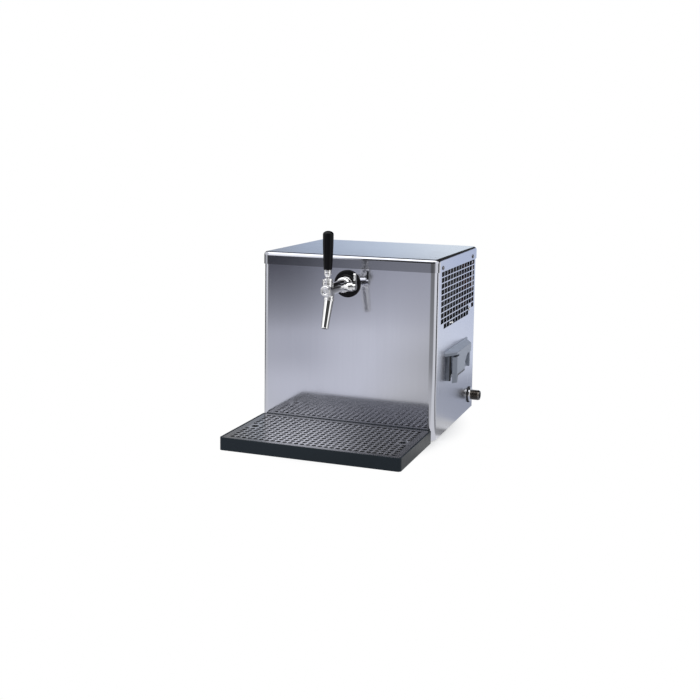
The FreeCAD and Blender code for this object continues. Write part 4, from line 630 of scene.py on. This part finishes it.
class COOLER_OT_casing(bpy.types.Operator):
    """Steel of the casing, lid, rear panel and base"""

    bl_idname = "cooler.casing"
    bl_label = "Casing and lid"

    SKIRT_FRONT = (-1.8 * MM, -0.8 * MM)    # out from the lid's front face
    SKIRT_TOP = (4 * MM, 9 * MM)            # down from the lid's top

    def execute(self, context):
        colours = context.scene.cooler_colours
        coat_nodes(brushed_metal("casing_steel", colours.steel, "Z", roughness=0.10, contrast=0.04,
                                 streak=0.03, side_haze=0.16), "casing_wrap")
        coat_nodes(brushed_metal("rear_steel", colours.steel, "X", roughness=0.3), "rear_panel")
        lid = brushed_metal("lid_steel", colours.lid, "X", roughness=0.11, contrast=0.03)
        # Painted shade: the lid's upright front is painted darker than its top
        coat_nodes(toned(lid, 0.58, self.skirt_painted_shade), "lid")
        coat_nodes(brushed_metal("zinc_sheet", colours.zinc, "X", roughness=0.6), "base_pan",
                   "condenser_frame", "fan_shroud", "fan_bracket", "compressor_bolts")
        coat_nodes(moulded_plastic("rubber", colours.rubber, roughness=0.75, grain=0.3), "rubber_feet",
                   "inlet_gasket", "compressor_grommets", "piston_seal")
        return {"FINISHED"}

    def skirt_painted_shade(self, recipe):
        """1 on the upright front of the lid, which is painted darker than its top: painted shade."""
        low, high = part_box("lid")
        front = (low.y - recipe.along("Y")).beyond(0, self.SKIRT_FRONT)
        return front * (high.z - recipe.along("Z")).beyond(0, self.SKIRT_TOP)


class COOLER_OT_tap(bpy.types.Operator):
    """Tap with its rosette, spout, lever, handle and flow lever"""

    bl_idname = "cooler.tap"
    bl_label = "Tap"

    SPOUT_LEAN = math.radians(21.4)
    SPOUT_REACH = 89 * MM           # from the rosette's foot to the top of the spout's axis
    SPOUT_SOCKET = 17 * MM          # how far down that axis the spout starts
    CAST_EDGE = 0.5 * MM            # rounding of the barrel's edges
    LEVER_EDGE = 0.6 * MM           # and of the flow lever's
    NUT_RADIUS = 14.2               # radii and lengths of the outlines are in millimetres
    RIB_PITCH = 1.3
    HANDLE_RADIUS = 9.75
    DOME_FOOT, DOME_RISE = 63.6, 6.0

    def execute(self, context):
        colours, sizes = context.scene.cooler_colours, context.scene.cooler_sizes
        self.chrome = polished_metal("chrome", colours.chrome)
        self.black = moulded_plastic("black_gloss", colours.black, roughness=0.20, grain=0.02,
                                     gloss=0.10)
        self.facets, self.edge = sizes.facets, sizes.turned_edge
        self.rosette_and_nut()
        self.head()
        self.spout()
        self.lever()
        coat_nodes(self.chrome, "tap_shank", "shank_nut", "tap_piston")
        return {"FINISHED"}

    def turn(self, name, profile, foot, axis, body="casing", black=False):
        """Makes a turned piece in place of the node of that name."""
        sheet = turned(profile, foot, axis, self.facets, self.edge)
        material, slot = (self.black, "black_gloss") if black else (self.chrome, "chrome")
        add_piece(sheet, name + "_turned", material, slot, body, name)

    def rosette_and_nut(self):
        """Black rosette on the casing and the ribbed nut in front of it."""
        foot = middle("tap_rosette")
        foot.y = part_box("tap_rosette")[1].y
        rosette = [(0, 11), (0, 26), (2.2, 26), (3.9, 24.9), (4.5, 23.2), (4.5, 18.6), (5.2, 17.2),
                   (7, 16), (7, 11), (0, 11)]
        self.turn("tap_rosette", rosette, foot, -Y, black=True)
        foot.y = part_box("coupling_nut")[1].y
        ribs = [(2.0 + self.RIB_PITCH * rib + step, self.NUT_RADIUS - dip) for rib in range(5)
                for step, dip in ((0.0, 0.0), (0.85, 0.0), (0.95, 0.45), (1.2, 0.45))]
        nut = [(0, 11), (0, 13.2), (1.0, self.NUT_RADIUS), *ribs, (9.0, self.NUT_RADIUS), (10.0, 13.0),
               (11.0, self.NUT_RADIUS), (17.6, self.NUT_RADIUS), (20.0, 12.0), (20.0, 10.5),
               (17.0, 10.5), (17.0, 11), (0, 11)]
        self.turn("coupling_nut", nut, foot, -Y)

    def head(self):
        """Barrel, its front cap and the bonnet on top."""
        add_piece(softened_copy("tap_body", self.CAST_EDGE), "tap_body_cast", self.chrome, "chrome",
                  "casing", "tap_body")
        foot = middle("tap_front_cap")
        foot.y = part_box("tap_front_cap")[1].y
        cap = [(0, 0), (0, 9), (1.9, 9), (3, 7.8), (3, 6.2), (2.2, 5.6), (2.2, 5), (1.2, 5), (1.2, 2.2),
               (2.0, 1.6), (2.0, 0)]
        self.turn("tap_front_cap", cap, foot, -Y)
        foot = middle("tap_bonnet")
        foot.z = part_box("tap_bonnet")[0].z
        bonnet = [(0, 5.6), (0, 9.75), (3.9, 9.75), (4.2, 9.3), (4.2, 8.85), (5.8, 8.85), (5.8, 9.3),
                  (6.1, 9.75), (8.2, 9.75), (9, 9.3), (9, 8.1), (2.0, 5.6), (0, 5.6)]
        self.turn("tap_bonnet", bonnet, foot, Z)

    def spout(self):
        """Slender spout that leans forward."""
        axis = Vector((0, -math.sin(self.SPOUT_LEAN), -math.cos(self.SPOUT_LEAN)))
        root = Vector((middle("tap_spout").x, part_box("tap_rosette")[1].y - self.SPOUT_REACH,
                       middle("tap_rosette").z))
        spout = [(0, 4.5), (0, 8.7), (0.8, 9.5), (4, 9.5), (4.8, 8.7), (30, 7.7), (54.2, 6.75),
                 (54.9, 7.0), (55.5, 6.6), (55.5, 4.5), (0, 4.5)]
        self.turn("tap_spout", spout, root + axis * self.SPOUT_SOCKET, axis)

    def lever(self):
        """Handle on its ferrule and stem, and the flow lever on the side."""
        foot = middle("handle_ferrule")
        foot.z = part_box("handle_ferrule")[0].z
        ferrule = [(0, 3.5), (0, 4.0), (5, 6.3), (6.2, 6.75), (9.4, 6.75), (9.7, 6.3), (10.4, 6.3),
                   (10.7, 6.75), (13.5, 6.75), (13.5, 3.5), (0, 3.5)]
        self.turn("handle_ferrule", ferrule, foot, Z, "tap_lever")
        foot = middle("tap_handle")
        foot.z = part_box("tap_handle")[0].z
        dome = [(self.DOME_FOOT + self.DOME_RISE * math.sin(math.radians(step)),
                 self.HANDLE_RADIUS * math.cos(math.radians(step))) for step in (15, 30, 45, 60, 75)]
        handle = [(0, 3.5), (0, 7.0), (1.0, 7.7), (26, 8.9), (44, 9.6),
                  (self.DOME_FOOT, self.HANDLE_RADIUS), *dome, (self.DOME_FOOT + self.DOME_RISE, 0)]
        self.turn("tap_handle", handle, foot, Z, "tap_lever", black=True)
        coat_nodes(self.chrome, "tap_lever_stem")
        add_piece(softened_copy("compensator_lever", self.LEVER_EDGE), "compensator_lever_cast",
                  self.chrome, "chrome", "compensator_lever", "compensator_lever")


class COOLER_OT_tray(bpy.types.Operator):
    """Drip tray and grid"""

    bl_idname = "cooler.tray"
    bl_label = "Drip tray and grid"

    RIM = (10 * MM, 16 * MM)        # the grid's plain rim ends between these
    HOLE_EDGE_HIGHLIGHT = 1.9                   # painted highlight: how much paler the grid is inside it

    def execute(self, context):
        colours, sizes = context.scene.cooler_colours, context.scene.cooler_sizes
        plastic = moulded_plastic("tray_plastic", colours.tray, roughness=0.38, gloss=0.18)
        add_piece(softened_copy("drip_tray", sizes.edge), "drip_tray_moulded", plastic, "tray_plastic",
                  "drip_tray", "drip_tray")
        grid = brushed_metal("grid_steel", colours.grid, "X", roughness=0.24, metallic=0.94)
        coat_nodes(toned(grid, self.HOLE_EDGE_HIGHLIGHT, self.painted_hole_highlight), "drip_grid")
        return {"FINISHED"}

    def painted_hole_highlight(self, recipe):
        """1 inside the plain rim of the grid, where a painted highlight stands in for light on the
        punched edges.
        """
        low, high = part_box("drip_grid")
        inside = 1.0
        for axis, start, end in (("X", low.x, high.x), ("Y", low.y, high.y)):
            place = recipe.along(axis)
            inside = place.beyond(start, self.RIM) * (end - place).beyond(0, self.RIM) * inside
        return inside


class COOLER_OT_grips(bpy.types.Operator):
    """Side grips"""

    bl_idname = "cooler.grips"
    bl_label = "Side grips"

    # Bands in which one painted tone of a grip, painted light or shade, fades into the next
    OFF_PANEL = (0, 0.5 * MM)               # out from the side panel
    OFF_CHEEK = (5.9 * MM, 6.3 * MM)
    OFF_POCKET = (9.0 * MM, 10.9 * MM)
    OFF_GAP = (10.5 * MM, 10.9 * MM)
    OFF_TONGUE = (15.3 * MM, 16.5 * MM)
    END_SKIN = (1.5 * MM, 3.3 * MM)         # back from the slanted front ends
    PAST_END = (3.3 * MM, 3.9 * MM)
    FRONT_CHEEK = (20.9 * MM, 21.4 * MM)    # back from the grip's front
    REAR_CHEEK = (5.6 * MM, 8.6 * MM)       # forward from the grip's rear
    ROOF = (3.9 * MM, 4.9 * MM)             # down from the grip's top
    HOOD = (9.9 * MM, 10.5 * MM)
    HEM = (15.5 * MM, 16.5 * MM)            # up from the grip's foot
    END_SLOPE = 27 / 18                     # the front ends run back 27 mm while they stand out 18 mm

    def execute(self, context):
        colours, sizes = context.scene.cooler_colours, context.scene.cooler_sizes
        self.low, self.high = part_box("grip_right")
        plastic = moulded_plastic("grip_plastic", colours.grip, roughness=0.42, grain=0.35, gloss=0.4)
        # Painted light and shade on the grips: a paler roof, darker front ends, front cheek, tongue
        # edges and gap
        for amount, mask in ((1.6, self.roof_painted_light), (0.72, self.front_ends_painted_shade), (0.55, self.cheeks),
                             (0.2, self.edges), (0.06, self.gap_painted_shadow)):
            plastic = toned(plastic, amount, mask)
        for side in ("right", "left"):
            add_piece(softened_copy("grip_" + side, sizes.edge), "grip_moulded_" + side, plastic,
                      "grip_plastic", "casing", "grip_" + side)
        return {"FINISHED"}

    @staticmethod
    def proud(recipe):
        """How far a place stands out from the side panel, alike on both sides."""
        low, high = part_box("casing_wrap")
        return (recipe.along("X") - (low.x + high.x) / 2).size() - (high.x - low.x) / 2

    def behind_end(self, recipe):
        """How far a place is behind the slanted front ends, measured straight back."""
        return recipe.along("Y") - self.low.y - self.proud(recipe) * self.END_SLOPE

    def below(self, recipe, band):
        """1 below a band that is measured down from the grip's top."""
        return (self.high.z - recipe.along("Z")).beyond(0, band)

    def ahead_of_pocket(self, recipe):
        """1 from the grip's front to the rear of its front cheek."""
        return 1 - recipe.along("Y").beyond(self.low.y, self.FRONT_CHEEK)

    def roof_painted_light(self, recipe):
        """1 on the sloped top of the hood, which is painted paler: painted light from above."""
        return (1 - self.below(recipe, self.ROOF)) * self.proud(recipe).beyond(0, self.OFF_PANEL)

    def front_ends_painted_shade(self, recipe):
        """1 on the slanted front ends, which are painted darker: painted shade."""
        return 1 - self.behind_end(recipe).beyond(0, self.END_SKIN)

    def cheeks(self, recipe):
        """1 on the front cheek, which is in the hood's shade."""
        near_panel = 1 - self.proud(recipe).beyond(0, self.OFF_CHEEK)
        return near_panel * self.ahead_of_pocket(recipe) * self.below(recipe, self.HOOD)

    def edges(self, recipe):
        """1 on the tongue's inner side and along its rolled lower edge, which are painted darker:
        painted shade.
        """
        proud = self.proud(recipe)
        outer = proud.beyond(0, self.OFF_TONGUE)
        inner = proud.beyond(0, self.OFF_POCKET) * (1 - outer)
        lip = outer * (1 - recipe.along("Z").beyond(self.low.z, self.HEM))
        before_rear_cheek = (self.high.y - recipe.along("Y")).beyond(0, self.REAR_CHEEK)
        return ((inner + lip).limited() * self.behind_end(recipe).beyond(0, self.PAST_END)
                * before_rear_cheek * self.below(recipe, self.HOOD))

    def gap_painted_shadow(self, recipe):
        """1 in the gap between the front cheek and the tongue, which is painted nearly black: painted
        shadow.
        """
        proud = self.proud(recipe)
        between = proud.beyond(0, self.OFF_CHEEK) * (1 - proud.beyond(0, self.OFF_GAP))
        return between * self.ahead_of_pocket(recipe) * self.below(recipe, self.HOOD)


class COOLER_OT_beer_inlet(bpy.types.Operator):
    """Threaded beer inlet with its nut"""

    bl_idname = "cooler.beer_inlet"
    bl_label = "Beer inlet"

    # The stub's radii and lengths, in millimetres
    BORE, NECK, SEAT, TIP = 6.5, 8.8, 9.6, 9.0
    THREAD_ROOT, THREAD_CREST = 9.5, 10.478
    THREAD_START, THREAD_END, CHAMFER = 1.2, 1.4, 1.5
    THREAD_EDGE = 0.08 * MM

    def execute(self, context):
        colours, sizes = context.scene.cooler_colours, context.scene.cooler_sizes
        chrome = polished_metal("inlet_chrome", colours.chrome, roughness=0.1)
        nickel = polished_metal("inlet_nickel", colours.nickel, roughness=0.12)
        centre = middle("inlet_stub")
        low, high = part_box("inlet_flange_nut")
        foot = Vector((low.x, centre.y, centre.z))
        outline = [(0, 9), (0, 14.5), (2.8, 14.5), (4.0, 13.3), (4.0, 9), (0, 9)]
        nut = turned(outline, foot, X, sizes.facets, sizes.turned_edge)
        add_piece(nut, "inlet_nut_turned", chrome, "chrome", "casing", "inlet_flange_nut")
        start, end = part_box("inlet_stub")
        foot = Vector((start.x, centre.y, centre.z))
        outline = self.threaded_outline(shoulder=(high.x - start.x) / MM, length=(end.x - start.x) / MM,
                                        pitch=sizes.thread_pitch / MM)
        stub = turned(outline, foot, X, sizes.facets, self.THREAD_EDGE)
        add_piece(stub, "inlet_stub_threaded", nickel, "chrome", "casing", "inlet_stub")
        coat_nodes(nickel, "inlet_lock_nut")
        return {"FINISHED"}

    def threaded_outline(self, shoulder, length, pitch):
        """Outline of the stub, with a ring for each turn of the thread."""
        outline = [(0, self.BORE), (0, self.NECK), (shoulder, self.NECK), (shoulder, self.SEAT)]
        threaded = length - shoulder - self.THREAD_START - self.THREAD_END
        for ring in range(int(threaded / pitch)):
            start = shoulder + self.THREAD_START + ring * pitch
            outline += [(start, self.THREAD_ROOT), (start + pitch * 0.35, self.THREAD_CREST),
                        (start + pitch * 0.6, self.THREAD_CREST)]
        return outline + [(length - self.CHAMFER, self.SEAT), (length, self.TIP), (length, self.BORE),
                          (0, self.BORE)]


class COOLER_OT_screws(bpy.types.Operator):
    """Screws of the lid, side panels and rear panel"""

    bl_idname = "cooler.screws"
    bl_label = "Screws"

    FACETS = 24
    EDGE = 0.12 * MM

    def execute(self, context):
        colours = context.scene.cooler_colours
        bright = polished_metal("screw_steel", colours.screw, roughness=0.16)
        dark = polished_metal("lid_screw_steel", colours.lid_screw, roughness=0.25)
        for node, material, facing in (("lid_screws", dark, X), ("panel_screws", bright, X),
                                       ("rear_screws", bright, Y)):
            sheets = [self.screw(tip, outward) for tip, outward in self.heads(node, facing)]
            add_piece(joined(sheets), node + "_turned", material, "screw_steel", "casing", node)
        return {"FINISHED"}

    def heads(self, node, facing):
        """Tip of the head and outward direction of each screw in a node."""
        sheet = bmesh.new()
        sheet.from_mesh(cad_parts[node].data)
        bmesh.ops.remove_doubles(sheet, verts=sheet.verts, dist=CAD_WELD)
        reached = set()
        places = []
        for first in sheet.verts:       # each loose part of the node is one screw
            if first in reached:
                continue
            reached.add(first)
            part = [first]
            for vertex in part:         # the list grows while it is walked
                around = [edge.other_vert(vertex) for edge in vertex.link_edges]
                part += [other for other in around if other not in reached]
                reached.update(around)
            low = Vector(min(vertex.co[k] for vertex in part) for k in range(3))
            high = Vector(max(vertex.co[k] for vertex in part) for k in range(3))
            centre = (low + high) / 2
            outward = facing if facing == Y or centre.x > 0 else -facing
            reach = abs((high - low).dot(facing)) / 2
            places.append((centre + outward * reach, outward))
        sheet.free()
        return places

    def screw(self, tip, outward):
        """Pan head with a round recess, on a short plain shank."""
        head = [(-9.0, 0), (-9.0, 2.0), (-2.0, 2.0), (-2.0, 4.0), (-1.1, 4.0), (-0.3, 3.2), (0, 2.2),
                (0, 1.5), (-1.2, 1.3), (-1.2, 0)]
        return turned(head, tip, outward, self.FACETS, self.EDGE)


class COOLER_OT_controls(bpy.types.Operator):
    """Thermostat knob, power switch and mains inlet on the rear panel"""

    bl_idname = "cooler.controls"
    bl_label = "Rear controls"

    def execute(self, context):
        colours = context.scene.cooler_colours
        matt = moulded_plastic("black_matt", colours.black, roughness=0.45, gloss=0.4)
        gloss = moulded_plastic("rocker_gloss", colours.black, roughness=0.18, grain=0.02)
        for node, body, edge in (("thermostat_knob", "thermostat_knob", 0.5 * MM),
                                 ("switch_housing", "casing", 0.3 * MM),
                                 ("mains_inlet", "casing", 0.4 * MM)):
            add_piece(softened_copy(node, edge), node + "_moulded", matt, "black_matt", body, node)
        add_piece(softened_copy("switch_rocker", 0.4 * MM), "switch_rocker_moulded", gloss,
                  "black_gloss", "switch_rocker", "switch_rocker")
        coat_nodes(matt, "thermostat", "start_relay_box", "fan_rotor", "compensator_cone")
        return {"FINISHED"}


class COOLER_OT_cold_side(bpy.types.Operator):
    """Cooling block, insulation, compressor, condenser, fan and pipes"""

    bl_idname = "cooler.cold_side"
    bl_label = "Cooling parts"

    def execute(self, context):
        colours = context.scene.cooler_colours
        coat_nodes(moulded_plastic("black_enamel", colours.enamel, roughness=0.3), "compressor")
        coat_nodes(moulded_plastic("motor_paint", colours.motor, roughness=0.5), "fan_motor")
        coat_nodes(brushed_metal("aluminium", colours.aluminium, "Z", roughness=0.5), "cooling_block",
                   "condenser_fins")
        coat_nodes(drawn_copper("copper", colours.copper), "suction_line", "discharge_line",
                   "liquid_line", "filter_drier", "capillary_tube", "condenser_coil",
                   "thermostat_probe")
        coat_nodes(rigid_foam("foam", colours.foam), "insulation_lower", "insulation_upper")
        coat_nodes(moulded_plastic("beer_hose", colours.hose, roughness=0.3), "beer_inlet_line",
                   "beer_outlet_line")
        return {"FINISHED"}


OPERATORS = (COOLER_OT_stage, COOLER_OT_casing, COOLER_OT_tap, COOLER_OT_tray, COOLER_OT_grips,
             COOLER_OT_beer_inlet, COOLER_OT_screws, COOLER_OT_controls, COOLER_OT_cold_side)


class COOLER_PT_panel(bpy.types.Panel):
    """Sidebar panel with every step and setting"""

    bl_idname = "COOLER_PT_panel"
    bl_label = "Beer cooler"
    bl_space_type = "VIEW_3D"
    bl_region_type = "UI"
    bl_category = "Beer cooler"

    def draw(self, context):
        scene = context.scene
        for group in (scene.cooler_colours, scene.cooler_sizes, scene.cooler_studio):
            for name in group.__annotations__:
                self.layout.prop(group, name)
        for operator in OPERATORS:
            self.layout.operator(operator.bl_idname)


CLASSES = (CoolerColours, CoolerSizes, StudioSettings) + OPERATORS + (COOLER_PT_panel,)


def register():
    for item in CLASSES:
        bpy.utils.register_class(item)
    bpy.types.Scene.cooler_colours = PointerProperty(type=CoolerColours)
    bpy.types.Scene.cooler_sizes = PointerProperty(type=CoolerSizes)
    bpy.types.Scene.cooler_studio = PointerProperty(type=StudioSettings)


def unregister():
    del bpy.types.Scene.cooler_studio
    del bpy.types.Scene.cooler_sizes
    del bpy.types.Scene.cooler_colours
    for item in reversed(CLASSES):
        bpy.utils.unregister_class(item)


def main():
    """Builds the whole scene."""
    register()
    for operator in OPERATORS:
        group, name = operator.bl_idname.split(".")
        getattr(getattr(bpy.ops, group), name)()
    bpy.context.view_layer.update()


if __name__ == "__main__":
    main()
